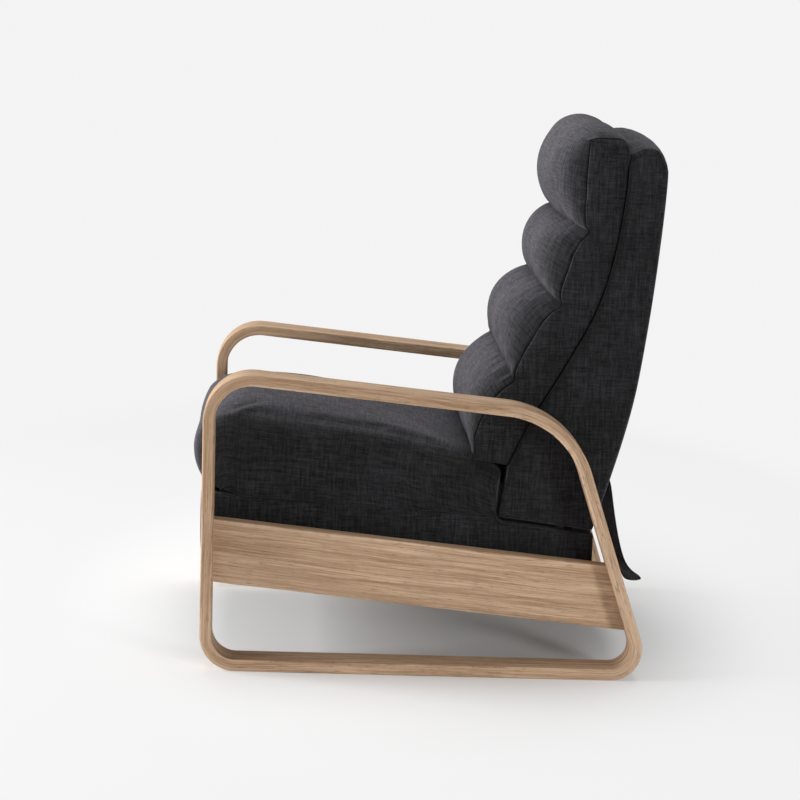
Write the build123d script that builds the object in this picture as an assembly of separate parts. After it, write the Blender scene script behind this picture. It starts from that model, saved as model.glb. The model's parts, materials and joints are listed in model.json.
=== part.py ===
"""Reclining armchair with two bent wooden loops for arms and legs.

Lengths are millimetres. X is the width, with +X on the sitter's left. Y is the
depth, with the front of the chair at -Y. Z points up from the floor.
Side outlines are drawn as (depth, height) points, where depth is measured
rearwards from the front line of the loops. The finished pieces are shifted so
that the origin lies on the floor under the middle of the chair's box.
"""
from build123d import *
from math import atan2, cos, degrees, hypot, radians, sin, tan
import os

# Bentwood loops
overall_width = 700.0
band_width = 68.0
band_thickness = 21.0
arm_rise = 280.0
arm_fall_degrees = 5.1
foot_overhang = 114.5
rear_lean_degrees = 18.8
front_lean_degrees = 0.4
front_foot_radius = 66.0
front_arm_radius = 87.0
rear_arm_radius = 180.0
rear_foot_radius = 57.0
wood_edge_radius = 3.0

# Side rails and stretchers
rail_thickness = 31.0
rail_height = 116.0
rail_front_height = 275.5
rail_fall_degrees = 5.35
stretcher_thickness = 30.0
stretcher_height = 36.0
stretcher_lift = 5.0
front_stretcher_gap = 17.0
rear_stretcher_inset = 145.5

# Loop bolts
bolt_radius = 3.0
bolt_length = 58.0
bolt_head_radius = 6.5
bolt_head_height = 3.0
bolt_sink = 4.0
bolt_spread = 64.0
bolt_clearance = 0.2

# Seat slides
slide_height = 34.0
slide_wall = 2.0
slide_drop = 21.0
channel_front_depth = 46.0
channel_rear_inset = 135.5
runner_front_depth = 130.0
runner_rear_inset = 107.0
runner_gap = 2.0
glide_length = 30.0
glide_clearance = 0.2
slide_screw_radius = 2.0
slide_screw_length = 14.0
slide_screw_head_radius = 3.6
slide_screw_head_height = 1.6

# Seat frame
seat_side_gap = 9.0
cover_thickness = 3.0
seat_board_thickness = 25.0
seat_board_front = 30.0
seat_board_overlap = 60.0
seat_cover_lap = 19.0
seat_tail_gap = 2.0
deck_front_depth = 67.0
deck_front_rise = 33.5
deck_length = 469.0
deck_fall = 24.0
shelf_drop = 13.0
shelf_fall = 20.0
shelf_step = 7.0
apron_rise = 8.0
front_rail_setback = 3.0
front_rail_width = 32.0
front_rail_height = 30.0
rear_rail_width = 30.0
rear_rail_height = 32.0
tail_rail_width = 20.0
tail_rail_height = 40.0
strap_width = 50.0
strap_thickness = 2.0
strap_setback = 4.0
seat_strap_count = 5
part_gap = 0.5

# Seat cushion
nose_reach = 26.0
nose_foot_depth = 4.0
nose_foot_rise = 26.0
nose_waist_rise = 38.0
nose_shoulder_depth = 8.0
nose_shoulder_rise = 51.0
seat_brow_rise = 12.0
seat_edge_rise = 24.0
seat_crown = 43.0
seat_crown_depth = 60.0
seat_rear_drop = 9.0
seat_tail_inset = 36.0
seat_tail_rise = 8.0
cushion_side_pull = 6.0
nose_pocket_gap = 0.5

# Back
back_side_inset = 2.0
back_board_thickness = 20.0
back_foot_gap = 7.0
back_foot_rise = 13.0
back_base_step = 14.0
back_base_rise = 93.0
back_heel_length = 172.0
back_heel_rise = 12.0
back_run = 195.0
back_rise = 632.0
back_cushion_inset = 9.0
outer_panel_thickness = 5.0
back_rail_width = 22.0
back_rail_height = 40.0
back_rail_tilt_degrees = 8.0
bottom_rail_inset = 22.0
bottom_rail_rise = 8.0
back_strap_count = 6
flap_side_inset = 27.0
flap_thickness = 2.5
flap_gap = 0.3
flap_drop = 188.0
flap_flare = 62.0
flap_bow = 20.0
back_edge_gap = 1.0

# Back hinge
hinge_inset = 15.0
hinge_rise = 21.0
hinge_pin_radius = 5.0
hinge_pin_head_radius = 9.0
hinge_eye_radius = 15.0
hinge_ear_flare = 3.0
hinge_bracket_length = 150.0
hinge_bracket_width = 30.0
hinge_bracket_degrees = 84.0
hinge_clearance = 0.3
hinge_pocket_depth = 3.0

# Footrest mechanism
steel_thickness = 3.0
plate_gap = 0.4
plate_lead = 28.0
plate_margin = 8.0
plate_tail_gap = 1.0
link_length = 150.0
link_half_width = 10.0
folded_degrees = 84.0
drive_drop = 5.5
pin_radius = 4.0
pin_head_radius = 7.0
pin_head_height = 2.0
running_clearance = 0.05
open_clearance = 0.3
control_reach = 16.0
control_pin_back = 26.0
control_pin_drop = 14.0
control_slack = 4.6
control_lug_rim = 5.0
bracket_stand_off = 18.0
drive_tube_radius = 9.0
drive_tube_wall = 1.5
drive_tube_offset = 40.0

# Footrest
footrest_front = 12.0
footrest_side_inset = 17.0
footrest_board_inset = 26.0
footrest_board_thickness = 16.0
footrest_pad_thickness = 22.0
footrest_gap = 9.0
footrest_height = 150.0
footrest_edge = 6.0
footrest_crown = 7.0
bracket_flange = 26.0
bracket_height = 64.0
bracket_margin = 9.0
wood_screw_radius = 2.2
wood_screw_length = 13.0
wood_screw_head_radius = 4.2
wood_screw_head_height = 1.8

# Shares of the back's run and rise, counted from the rear bottom corner of its cushion
back_line_shares = ((0, 0), (0.164, 0.120), (0.477, 0.285), (0.836, 0.498), (0.985, 0.767), (1.0, 0.913))
side_crease_shares = ((-0.328, 0.024), (0.005, 0.280), (0.364, 0.494), (0.621, 0.691), (0.621, 0.905))
crown_crease_shares = ((-0.318, 0.030), (-0.062, 0.304), (0.272, 0.519), (0.477, 0.715), (0.487, 0.952))
side_bulge_shares = (0.024, 0.024, 0.016, 0.016)
crown_bulge_shares = (0.070, 0.060, 0.052, 0.050)
side_top_shares = (0.800, 0.948)
crown_top_shares = (0.735, 1.003)
outer_line_shares = ((1.005, 0.913), (1.12, 0.934), (1.19, 0.936), (1.28, 0.925), (1.348, 0.880),
                     (1.35, 0.845), (1.335, 0.742), (1.28, 0.525), (1.205, 0.324), (1.145, 0.199),
                     (1.05, 0.075), (0.96, -0.025))
top_rail_shares = (1.06, 0.900)
middle_rail_shares = (1.06, 0.40)
panel_span_shares = (0.15, 0.90)

# Shares across a cushion's half width, each with the share of its full crown there
crown_station_shares = ((-1, 0), (-0.93, 0.42), (-0.62, 0.86), (0, 1), (0.62, 0.86), (0.93, 0.42), (1, 0))
crown_lift_share = 0.2

# Shares of a piece's length at which its screws and glides stand
channel_screw_shares = (0.06, 0.35, 0.65, 0.94)
plate_screw_shares = (0.08, 0.36, 0.64, 0.9)
hinge_screw_shares = (0.4, 0.65, 0.9)
glide_shares = (0, 1)


def along(point, degrees, distance):
    """The point at a distance in a direction, counted from rearwards to up."""
    return point[0] + distance * cos(radians(degrees)), point[1] + distance * sin(radians(degrees))


def meet(point_a, degrees_a, point_b, degrees_b):
    """Where two lines in the side view cross."""
    ay, az = cos(radians(degrees_a)), sin(radians(degrees_a))
    by, bz = cos(radians(degrees_b)), sin(radians(degrees_b))
    spread = ay * bz - az * by
    run = ((point_b[0] - point_a[0]) * bz - (point_b[1] - point_a[1]) * by) / spread
    return point_a[0] + run * ay, point_a[1] + run * az


def direction(start, end):
    """Direction from one side view point to another, counted from rearwards to up."""
    return degrees(atan2(end[1] - start[1], end[0] - start[0]))


def flat(outline, x_low, x_high):
    """A plate with a side outline, between two places across the width."""
    face = Plane.YZ.offset(x_low) * make_face(outline)
    return extrude(face, amount=x_high - x_low, dir=(1, 0, 0))


def plate(points, x_low, x_high):
    """A plate with straight edges between points in the side view."""
    return flat(Polyline(*points, close=True), x_low, x_high)


def cross_pin(point, radius, x_low, x_high):
    """A round pin or hole across the width, centred on a side view point."""
    length = x_high - x_low
    middle = (x_low + x_high) / 2
    return Pos(middle, point[0], point[1]) * Rot(0, 90, 0) * Cylinder(radius, length)


def cross_bar(point, tilt_degrees, run, rise, x_low, x_high):
    """A straight bar across the width, from its lower front edge in the side view."""
    corner_b = along(point, tilt_degrees, run)
    corner_c = along(corner_b, tilt_degrees + 90, rise)
    corner_d = along(point, tilt_degrees + 90, rise)
    return plate((point, corner_b, corner_c, corner_d), x_low, x_high)


def link_bar(start, end, half_width, hole_start, hole_end, x_low, x_high):
    """A flat link with round ends and a hole at each end."""
    length = hypot(end[0] - start[0], end[1] - start[1])
    bar = SlotCenterToCenter(length, 2 * half_width)
    turn = direction(start, end)
    middle = between(start, end, 0.5)
    outline = Pos(middle[0], middle[1]) * Rot(0, 0, turn) * bar
    outline -= Pos(start[0], start[1]) * Circle(hole_start)
    outline -= Pos(end[0], end[1]) * Circle(hole_end)
    return extrude(Plane.YZ.offset(x_low) * outline, amount=x_high - x_low, dir=(1, 0, 0))


def other_side(shape):
    """The mirror image of a piece, for the sitter's right."""
    return mirror(shape, about=Plane.YZ)


def both_sides(solids):
    """Separate copies on both sides of the chair, as one group."""
    group = []
    for solid in solids:
        group += [solid, other_side(solid)]
    return Compound(children=[piece for shape in group for piece in shape.solids()])


# Places across the width, worked out from the sizes
half_width = overall_width / 2
loop_inner = half_width - band_width
rail_outer = loop_inner + rail_thickness
seat_half_width = loop_inner - seat_side_gap
board_outer = seat_half_width - cover_thickness
board_inner = board_outer - seat_board_thickness
plate_inner = board_inner - steel_thickness
layer_a = plate_inner - plate_gap
layer_b = layer_a - steel_thickness - plate_gap
layer_c = layer_b - steel_thickness - plate_gap
back_half_width = seat_half_width - back_side_inset
back_board_outer = back_half_width - cover_thickness
back_board_inner = back_board_outer - back_board_thickness
back_cushion_half_width = back_half_width - back_cushion_inset
flap_half_width = back_half_width - flap_side_inset
footrest_pad_half_width = seat_half_width - footrest_side_inset
footrest_board_half_width = footrest_pad_half_width - footrest_board_inset

# Depths
deck_rear_depth = deck_front_depth + deck_length
back_foot_depth = deck_rear_depth + back_foot_gap
back_base_depth = back_foot_depth + back_base_step
back_heel_depth = back_foot_depth + back_heel_length
seat_board_rear = back_heel_depth + seat_tail_gap
seat_tail_depth = deck_rear_depth - seat_tail_inset
seat_cover_front = seat_board_front - cover_thickness
hinge_depth = back_heel_depth - hinge_inset
foot_length = seat_board_rear + foot_overhang
channel_length = foot_length - channel_rear_inset - channel_front_depth
runner_length = seat_board_rear - runner_rear_inset - runner_front_depth
footrest_rear = footrest_pad_thickness + footrest_board_thickness - footrest_front
footrest_pivot_depth = footrest_rear + bracket_stand_off
drive_depth = footrest_pivot_depth + link_length * sin(radians(folded_degrees))
plate_front_depth = drive_depth - plate_lead
front_stretcher_depth = drive_depth + link_length + front_stretcher_gap
rear_stretcher_depth = foot_length - rear_stretcher_inset

# Heights
arm_front_height = rail_front_height + arm_rise
deck_front_height = rail_front_height + deck_front_rise
deck_rear_height = deck_front_height - deck_fall
apron_height = deck_front_height + apron_rise
shelf_front_height = deck_rear_height - shelf_drop
shelf_rear_height = shelf_front_height - shelf_fall
back_foot_height = shelf_front_height + back_foot_rise
back_base_height = back_foot_height + back_base_rise
back_heel_height = shelf_rear_height + back_heel_rise
hinge_height = back_heel_height + hinge_rise
drive_height = rail_front_height - drive_drop
nose_foot_height = deck_front_height + nose_foot_rise
nose_waist_height = nose_foot_height + nose_waist_rise
nose_shoulder_height = nose_waist_height + nose_shoulder_rise
seat_edge_front_height = nose_shoulder_height + seat_brow_rise
seat_edge_rear_height = back_base_height + seat_edge_rise
seat_rear_height = back_base_height - seat_rear_drop
seat_tail_height = back_base_height + seat_tail_rise
footrest_high = nose_foot_height - footrest_gap
footrest_low = footrest_high - footrest_height

# Side view points and lines
rear_up_degrees = 90 + rear_lean_degrees
front_up_degrees = 90 + front_lean_degrees
front_inner_foot = (band_thickness / cos(radians(front_lean_degrees)), 0)
rear_inner_foot = (foot_length - band_thickness / cos(radians(rear_lean_degrees)), 0)
rail_top_start = (0, rail_front_height)
rail_low_start = along(rail_top_start, -90 - rail_fall_degrees, rail_height)
back_foot = (back_foot_depth, back_foot_height)
hinge = (hinge_depth, hinge_height)
drive_pivot = (drive_depth, drive_height)
chair_front = -nose_reach
chair_rear = back_base_depth + back_run * max(share[0] for share in outer_line_shares) + cover_thickness
middle_depth = (chair_front + chair_rear) / 2


def rail_top_at(depth):
    """Height of the side rail's top edge at a depth."""
    return rail_front_height - depth * tan(radians(rail_fall_degrees))


def deck_at(depth):
    """Height of the seat deck under the cushion at a depth."""
    fall = (deck_front_height - deck_rear_height) / (deck_rear_depth - deck_front_depth)
    return deck_front_height - (depth - deck_front_depth) * fall


def back_point(share):
    """A side view point from shares of the back's run and rise."""
    return back_base_depth + share[0] * back_run, back_base_height + share[1] * back_rise


def between(low, high, share):
    """The point part of the way from one point to another."""
    return low[0] + (high[0] - low[0]) * share, low[1] + (high[1] - low[1]) * share


def folded_joints():
    """The footrest linkage's pivots when the footrest is stowed."""
    down = 270
    knee = along(drive_pivot, down - folded_degrees, link_length)
    heel = along(drive_pivot, down + folded_degrees, link_length)
    crossing = along(knee, down + folded_degrees, link_length)
    carrier = along(crossing, down - folded_degrees, link_length)
    control = along(crossing, down + folded_degrees, control_reach)
    lug = (carrier[0] + control_pin_back, carrier[1] - control_pin_drop)
    return knee, heel, crossing, carrier, control, lug


knee_pivot, heel_pivot, crossing_pivot, carrier_pivot, control_pivot, lug_pivot = folded_joints()


def loop_bolt_axes():
    """Start point and direction of each bolt that joins a rail to a loop."""
    axes = []
    for side in (-1, 1):
        middle = along(rail_top_start, -90 - rail_fall_degrees, rail_height / 2)
        front = meet(middle, -rail_fall_degrees, (0, 0), front_up_degrees)
        rear = meet(middle, -rail_fall_degrees, (foot_length, 0), rear_up_degrees)
        axes.append((along(front, front_up_degrees, side * bolt_spread / 2), front_lean_degrees))
        axes.append((along(rear, rear_up_degrees, side * bolt_spread / 2), 180 + rear_lean_degrees))
    return axes


def bolt_rod(start, degrees, radius, near, far):
    """A round rod in the side rail's plane, from near to far along a direction."""
    low = along(start, degrees, near)
    high = along(start, degrees, far)
    middle_x = (loop_inner + rail_outer) / 2
    path = Line((middle_x, low[0], low[1]), (middle_x, high[0], high[1]))
    return sweep(Plane(path @ 0, z_dir=path % 0) * Circle(radius), path=path)


def loop_bolts():
    """Countersunk bolts from the loops into the ends of the rails."""
    bolts = []
    for start, degrees in loop_bolt_axes():
        head_end = bolt_sink + bolt_head_height
        shank = bolt_rod(start, degrees, bolt_radius, head_end, bolt_length)
        head = bolt_rod(start, degrees, bolt_head_radius, bolt_sink, head_end)
        bolts.append(shank + head)
    return both_sides(bolts)


def bolt_holes(reach_back):
    """The clearance holes of the loop bolts."""
    holes = []
    for start, degrees in loop_bolt_axes():
        sunk = bolt_sink + bolt_head_height
        far = bolt_length + bolt_clearance
        holes.append(bolt_rod(start, degrees, bolt_radius + bolt_clearance, -reach_back, far))
        holes.append(bolt_rod(start, degrees, bolt_head_radius + bolt_clearance, -reach_back, sunk))
    return holes


def loop():
    """One bent band that is a front leg, a foot, a rear leg and an arm."""
    front_foot = (0, 0)
    arm_front = along(front_foot, front_up_degrees, arm_front_height)
    rear_foot = (foot_length, 0)
    arm_rear = meet(arm_front, -arm_fall_degrees, rear_foot, rear_up_degrees)
    corners = (front_foot, arm_front, arm_rear, rear_foot)
    radii = [front_foot_radius, front_arm_radius, rear_arm_radius, rear_foot_radius]
    outer = make_face(FilletPolyline(*corners, radius=radii, close=True))
    inner = offset(outer, amount=-band_thickness)
    band = extrude(Plane.YZ.offset(loop_inner) * (outer - inner), amount=band_width, dir=(1, 0, 0))
    outlines = band.edges() - band.edges().filter_by(Axis.X)
    band = fillet(outlines, wood_edge_radius)
    for hole in bolt_holes(band_thickness):
        band -= hole
    return band


def side_rail():
    """The deep rail between a loop's front and rear legs."""
    top_front = meet(rail_top_start, -rail_fall_degrees, front_inner_foot, front_up_degrees)
    top_rear = meet(rail_top_start, -rail_fall_degrees, rear_inner_foot, rear_up_degrees)
    low_front = meet(rail_low_start, -rail_fall_degrees, front_inner_foot, front_up_degrees)
    low_rear = meet(rail_low_start, -rail_fall_degrees, rear_inner_foot, rear_up_degrees)
    rail = plate((top_front, top_rear, low_rear, low_front), loop_inner, rail_outer)
    long_edges = [edge for edge in rail.edges() if edge.length > rail_height * 2]
    rail = fillet(long_edges, wood_edge_radius / 2)
    for hole in bolt_holes(0) + channel_screws():
        rail -= hole
    return rail


def stretcher(depth):
    """A cross rail between the side rails, low enough to clear the seat."""
    low = rail_top_at(depth) - rail_height / cos(radians(rail_fall_degrees)) + stretcher_lift
    corner = (depth, low)
    bar = cross_bar(corner, 0, stretcher_thickness, stretcher_height, -loop_inner, loop_inner)
    return fillet(bar.edges().filter_by(Axis.X), wood_edge_radius)


def slide_channel():
    """The fixed channel of a seat slide, on the inside of a side rail."""
    tilt = -rail_fall_degrees
    corner = (channel_front_depth, rail_top_at(channel_front_depth) - slide_drop - slide_height)
    body_low = board_outer + slide_wall
    block = cross_bar(corner, tilt, channel_length, slide_height, body_low, loop_inner)
    hollow_corner = along(corner, tilt + 90, slide_wall)
    hollow = cross_bar(hollow_corner, tilt, channel_length, slide_height - 2 * slide_wall,
                       body_low, loop_inner - slide_wall)
    channel = block - hollow
    for point in slide_screw_points(corner, channel_length):
        channel -= cross_pin(point, slide_screw_radius, loop_inner - slide_wall * 2, loop_inner + slide_wall)
    return channel


def slide_screw_points(corner, length):
    """The screws along a slide, at mid height."""
    start = along(corner, 90 - rail_fall_degrees, slide_height / 2)
    return [along(start, -rail_fall_degrees, length * share) for share in channel_screw_shares]


def channel_screws():
    """Screws that hold the channels to the side rails."""
    corner = (channel_front_depth, rail_top_at(channel_front_depth) - slide_drop - slide_height)
    screws = []
    head_face = loop_inner - slide_wall
    for point in slide_screw_points(corner, channel_length):
        shank = cross_pin(point, slide_screw_radius, head_face, head_face + slide_screw_length)
        head = cross_pin(point, slide_screw_head_radius, head_face - slide_screw_head_height, head_face)
        screws.append(shank + head)
    return screws


def runner_corner():
    """Lower front corner of the runner inside its channel."""
    top = rail_top_at(runner_front_depth) - slide_drop - slide_height
    return along((runner_front_depth, top), 90 - rail_fall_degrees, slide_wall + runner_gap)


def runner_height():
    """Height of the runner between the channel's flanges."""
    return slide_height - 2 * slide_wall - 2 * runner_gap


def slide_runner():
    """The moving bar of a seat slide, on the outside of a seat board."""
    return cross_bar(runner_corner(), -rail_fall_degrees, runner_length, runner_height(),
                     board_outer, board_outer + slide_wall * 2)


def glide_blocks():
    """Nylon blocks above and below each runner that bear on the channel."""
    blocks = []
    tilt = -rail_fall_degrees
    thickness = runner_gap - glide_clearance
    for share in glide_shares:
        base = along(runner_corner(), tilt, (runner_length - glide_length) * share)
        upper = along(base, tilt + 90, runner_height())
        lower = along(base, tilt - 90, thickness)
        for corner in (upper, lower):
            blocks.append(cross_bar(corner, tilt, glide_length, thickness,
                                    board_outer + slide_wall + glide_clearance, board_outer + slide_wall * 2))
    return both_sides(blocks)


def seat_side_points(front, lap):
    """Outline of a seat side, from the apron down to a lap below the rail's top."""
    step = (back_foot_depth, shelf_front_height)
    return ((front, rail_top_at(front) - lap),
            (front, apron_height),
            (deck_front_depth, deck_front_height),
            (deck_rear_depth, deck_rear_height),
            (step[0] - shelf_step, step[1]),
            (seat_board_rear, shelf_rear_height),
            (seat_board_rear, rail_top_at(seat_board_rear) - lap))


def seat_side_board():
    """The wooden side of the seat frame."""
    board = plate(seat_side_points(seat_board_front, seat_board_overlap), board_inner, board_outer)
    for screw in plate_screws():
        board -= screw
    return board


def seat_side_cover():
    """The upholstery over the outside of a seat side board."""
    return plate(seat_side_points(seat_cover_front, seat_cover_lap), board_outer, seat_half_width)


def seat_front_rail():
    """The rail across the front of the seat frame, inside the cushion's nose."""
    tilt = -deck_tilt_degrees()
    depth = deck_front_depth + front_rail_setback
    corner = (depth, deck_at(depth))
    return cross_bar(corner, tilt, front_rail_width, front_rail_height, -board_outer, board_outer)


def deck_tilt_degrees():
    """Fall of the seat deck towards the back."""
    return -direction((deck_front_depth, deck_front_height), (deck_rear_depth, deck_rear_height))


def seat_rear_rail():
    """The rail under the rear end of the seat webbing."""
    depth = deck_rear_depth - rear_rail_width
    tilt = -deck_tilt_degrees()
    corner = along((depth, deck_at(depth)), tilt - 90, strap_thickness + rear_rail_height)
    return cross_bar(corner, tilt, rear_rail_width, rear_rail_height, -plate_inner, plate_inner)


def seat_tail_rail():
    """The rail across the tail of the seat frame, below the back."""
    depth = seat_board_rear - tail_rail_width
    corner = (depth, rail_top_at(depth) - seat_board_overlap + plate_margin)
    return cross_bar(corner, 0, tail_rail_width, tail_rail_height, -plate_inner, plate_inner)


def seat_webbing():
    """Elastic straps from the front rail to the rear rail."""
    straps = []
    start = deck_front_depth + strap_setback
    span = (deck_rear_depth - start) / cos(radians(deck_tilt_degrees()))
    pitch = 2 * (plate_inner - strap_width) / seat_strap_count
    corner = along((start, deck_at(start)), -deck_tilt_degrees() - 90, strap_thickness)
    for number in range(seat_strap_count):
        middle = (number - (seat_strap_count - 1) / 2) * pitch
        straps.append(cross_bar(corner, -deck_tilt_degrees(), span, strap_thickness,
                                middle - strap_width / 2, middle + strap_width / 2))
    return Compound(children=[strap.solids()[0] for strap in straps])


def seat_section(share, crown):
    """One lengthwise slice of the seat cushion, fuller towards its middle."""
    pull = cushion_side_pull * (1 - crown)
    rise = seat_crown * crown
    foot = (nose_foot_depth + pull - nose_reach / 2, nose_foot_height)
    waist = (pull - nose_reach, nose_waist_height)
    shoulder = (nose_shoulder_depth + pull - nose_reach, nose_shoulder_height + rise * crown_lift_share)
    brow = (seat_crown_depth, seat_edge_front_height + rise)
    knuckle = between(shoulder, brow, 0.5)
    knuckle = (knuckle[0] - nose_shoulder_depth, knuckle[1] + nose_shoulder_depth)
    tail = (seat_tail_depth, seat_tail_height)
    crest = between(brow, tail, 0.5)
    crest = (crest[0], crest[1] + (seat_edge_rear_height - seat_tail_height) / 2 + rise * crown_lift_share)
    rear = (deck_rear_depth + shelf_step + part_gap * 2, seat_rear_height)
    deck_front = (deck_front_depth, deck_front_height + part_gap)
    deck_rear = (deck_rear_depth, deck_rear_height + part_gap)
    lines = [Line(deck_rear, deck_front),
             Line(deck_front, foot),
             ThreePointArc(foot, waist, shoulder),
             ThreePointArc(shoulder, knuckle, brow),
             ThreePointArc(brow, crest, tail),
             Line(tail, rear),
             Line(rear, deck_rear)]
    return Plane.YZ.offset(share * (seat_half_width - part_gap)) * make_face(Wire(lines))


def seat_cushion():
    """The crowned seat cushion with its nose, hollowed for the front rail."""
    cushion = loft([seat_section(share, crown) for share, crown in crown_station_shares])
    tilt = -deck_tilt_degrees()
    start = deck_front_depth + front_rail_setback - nose_pocket_gap
    corner = along((start, deck_at(start)), tilt - 90, front_rail_height)
    half = board_outer + part_gap
    pocket = cross_bar(corner, tilt, front_rail_width + 2 * nose_pocket_gap,
                       2 * front_rail_height + nose_pocket_gap, -half, half)
    return cushion - pocket


def mechanism_plate():
    """The steel side plate that carries the footrest links and the back hinge."""
    def low_at(depth):
        return rail_top_at(depth) - seat_board_overlap + plate_margin

    rear = seat_board_rear - plate_tail_gap
    ear_half = hinge_eye_radius + hinge_ear_flare
    hole_low, hole_high = plate_inner - steel_thickness, board_inner + steel_thickness
    shelf = shelf_rear_height - plate_margin
    points = ((plate_front_depth, low_at(plate_front_depth)),
              (plate_front_depth, deck_at(plate_front_depth) - plate_margin),
              (deck_rear_depth, deck_at(deck_rear_depth) - plate_margin),
              (back_foot_depth, shelf),
              (hinge_depth - ear_half, shelf),
              (hinge_depth - hinge_eye_radius, hinge_height),
              (hinge_depth + hinge_eye_radius, hinge_height),
              (rear, shelf),
              (rear, low_at(rear)))
    sheet = plate(points, plate_inner, board_inner)
    sheet += cross_pin(hinge, hinge_eye_radius, plate_inner, board_inner)
    sheet -= cross_pin(hinge, hinge_pin_radius + running_clearance, hole_low, hole_high)
    sheet -= cross_pin(drive_pivot, pin_radius, hole_low, hole_high)
    for point in plate_bolt_points():
        sheet -= cross_pin(point, wood_screw_radius, hole_low, hole_high)
    return sheet


def plate_bolt_points():
    """Where the mechanism plates are screwed to the seat boards."""
    points = []
    for share in plate_screw_shares:
        depth = plate_front_depth + (seat_board_rear - plate_front_depth) * share
        points.append((depth, rail_top_at(depth) - seat_board_overlap / 2))
    return points


def plate_screws():
    """Screws that hold the mechanism plates to the seat boards."""
    screws = []
    for point in plate_bolt_points():
        shank = cross_pin(point, wood_screw_radius, plate_inner, plate_inner + wood_screw_length)
        head = cross_pin(point, wood_screw_head_radius, plate_inner - wood_screw_head_height, plate_inner)
        screws.append(shank + head)
    return screws


def drive_pins():
    """The pins on the mechanism plates that the inner links turn on."""
    inner_end = layer_b - steel_thickness - plate_gap / 2
    shank = cross_pin(drive_pivot, pin_radius, inner_end, board_inner)
    head = cross_pin(drive_pivot, pin_head_radius, inner_end - pin_head_height, inner_end)
    return both_sides([shank + head])


def link(start, end, layer, hole_start, hole_end):
    """A steel link in one of the layers beside the mechanism plate."""
    return link_bar(start, end, link_half_width, hole_start, hole_end, layer - steel_thickness, layer)


def front_link():
    """The short link from the drive pivot to the knee."""
    hole = pin_radius + running_clearance
    return link(drive_pivot, knee_pivot, layer_a, hole, hole)


def rear_link():
    """The short link from the drive pivot to the heel."""
    hole = pin_radius + running_clearance
    return link(drive_pivot, heel_pivot, layer_b, hole, hole)


def drive_tube_centre():
    """Middle of the tube that joins the two rear links."""
    return along(drive_pivot, 270 + folded_degrees, drive_tube_offset)


def drive_tube():
    """The tube that makes the left and right linkages move together."""
    inner_face = layer_b - steel_thickness
    outside = cross_pin(drive_tube_centre(), drive_tube_radius, -inner_face, inner_face)
    inside = cross_pin(drive_tube_centre(), drive_tube_radius - drive_tube_wall, -inner_face, inner_face)
    return outside - inside


def long_link():
    """The long link from the heel through the crossing to the footrest."""
    bar = link(heel_pivot, carrier_pivot, layer_a, pin_radius, pin_radius + running_clearance)
    low_x, high_x = layer_a - steel_thickness * 2, layer_a + steel_thickness
    return bar - cross_pin(crossing_pivot, pin_radius, low_x, high_x)


def cross_link():
    """The link from the knee through the crossing to the control pivot."""
    bar = link(knee_pivot, control_pivot, layer_b, pin_radius, pin_radius)
    hole = pin_radius + open_clearance
    return bar - cross_pin(crossing_pivot, hole, layer_b - steel_thickness * 2, layer_b + steel_thickness)


def control_link():
    """The link that turns the footrest as the linkage opens."""
    return link(control_pivot, lug_pivot, layer_c, pin_radius + running_clearance, pin_radius)


def layer_pin(point, outer_layer, inner_layer):
    """A flush rivet through two neighbouring layers."""
    return cross_pin(point, pin_radius, inner_layer - steel_thickness, outer_layer)


def footrest_bracket():
    """The angle bracket between the footrest board and the linkage."""
    flange_low = bracket_middle() - bracket_height / 2
    flange = Pos(layer_b - bracket_flange / 2, footrest_rear + steel_thickness / 2, bracket_middle()) * \
        Box(bracket_flange, steel_thickness, bracket_height)
    eye = link_half_width
    lug_hole = pin_radius + control_slack
    lug_eye = lug_hole + control_lug_rim
    points = ((footrest_rear, flange_low + bracket_height),
              (footrest_rear + steel_thickness, flange_low + bracket_height),
              (carrier_pivot[0] + eye / 2, carrier_pivot[1] + eye),
              (lug_pivot[0], lug_pivot[1] + lug_eye),
              (lug_pivot[0], lug_pivot[1] - lug_eye),
              (footrest_rear, flange_low))
    web = plate(points, layer_b - steel_thickness, layer_b)
    web += cross_pin(carrier_pivot, eye, layer_b - steel_thickness, layer_b)
    web += cross_pin(lug_pivot, lug_eye, layer_b - steel_thickness, layer_b)
    bracket = flange + web
    bracket -= cross_pin(carrier_pivot, pin_radius, layer_b - steel_thickness * 2, layer_b + steel_thickness)
    bracket -= cross_pin(lug_pivot, lug_hole, layer_b - steel_thickness * 2, layer_b + steel_thickness)
    for x, z in footrest_screw_points():
        bracket -= Pos(x, footrest_rear, z) * Rot(90, 0, 0) * Cylinder(wood_screw_radius, steel_thickness * 4)
    return bracket


def bracket_middle():
    """Height of the middle of a footrest bracket's flange."""
    return footrest_low + footrest_edge + bracket_margin + bracket_height / 2


def footrest_screw_points():
    """Where each bracket is screwed to the footrest board, as width and height."""
    x = layer_b - steel_thickness - bracket_flange / 2
    spread = bracket_height / 2 - wood_screw_head_radius * 2
    return [(x, bracket_middle() + spread), (x, bracket_middle() - spread)]


def footrest_screws():
    """Screws that hold the brackets to the footrest board."""
    screws = []
    face = footrest_rear + steel_thickness
    for x, z in footrest_screw_points():
        shank = Pos(x, face - wood_screw_length / 2, z) * Rot(90, 0, 0) * \
            Cylinder(wood_screw_radius, wood_screw_length)
        head = Pos(x, face + wood_screw_head_height / 2, z) * Rot(90, 0, 0) * \
            Cylinder(wood_screw_head_radius, wood_screw_head_height)
        screws.append(shank + head)
    return screws


def footrest_board():
    """The wooden board inside the footrest."""
    low = footrest_low + footrest_edge
    high = footrest_high - footrest_edge
    front = footrest_rear - footrest_board_thickness
    board = plate(((front, low), (footrest_rear, low), (footrest_rear, high), (front, high)),
                  -footrest_board_half_width, footrest_board_half_width)
    for screw in both_sides(footrest_screws()).solids():
        board -= screw
    return board


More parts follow.
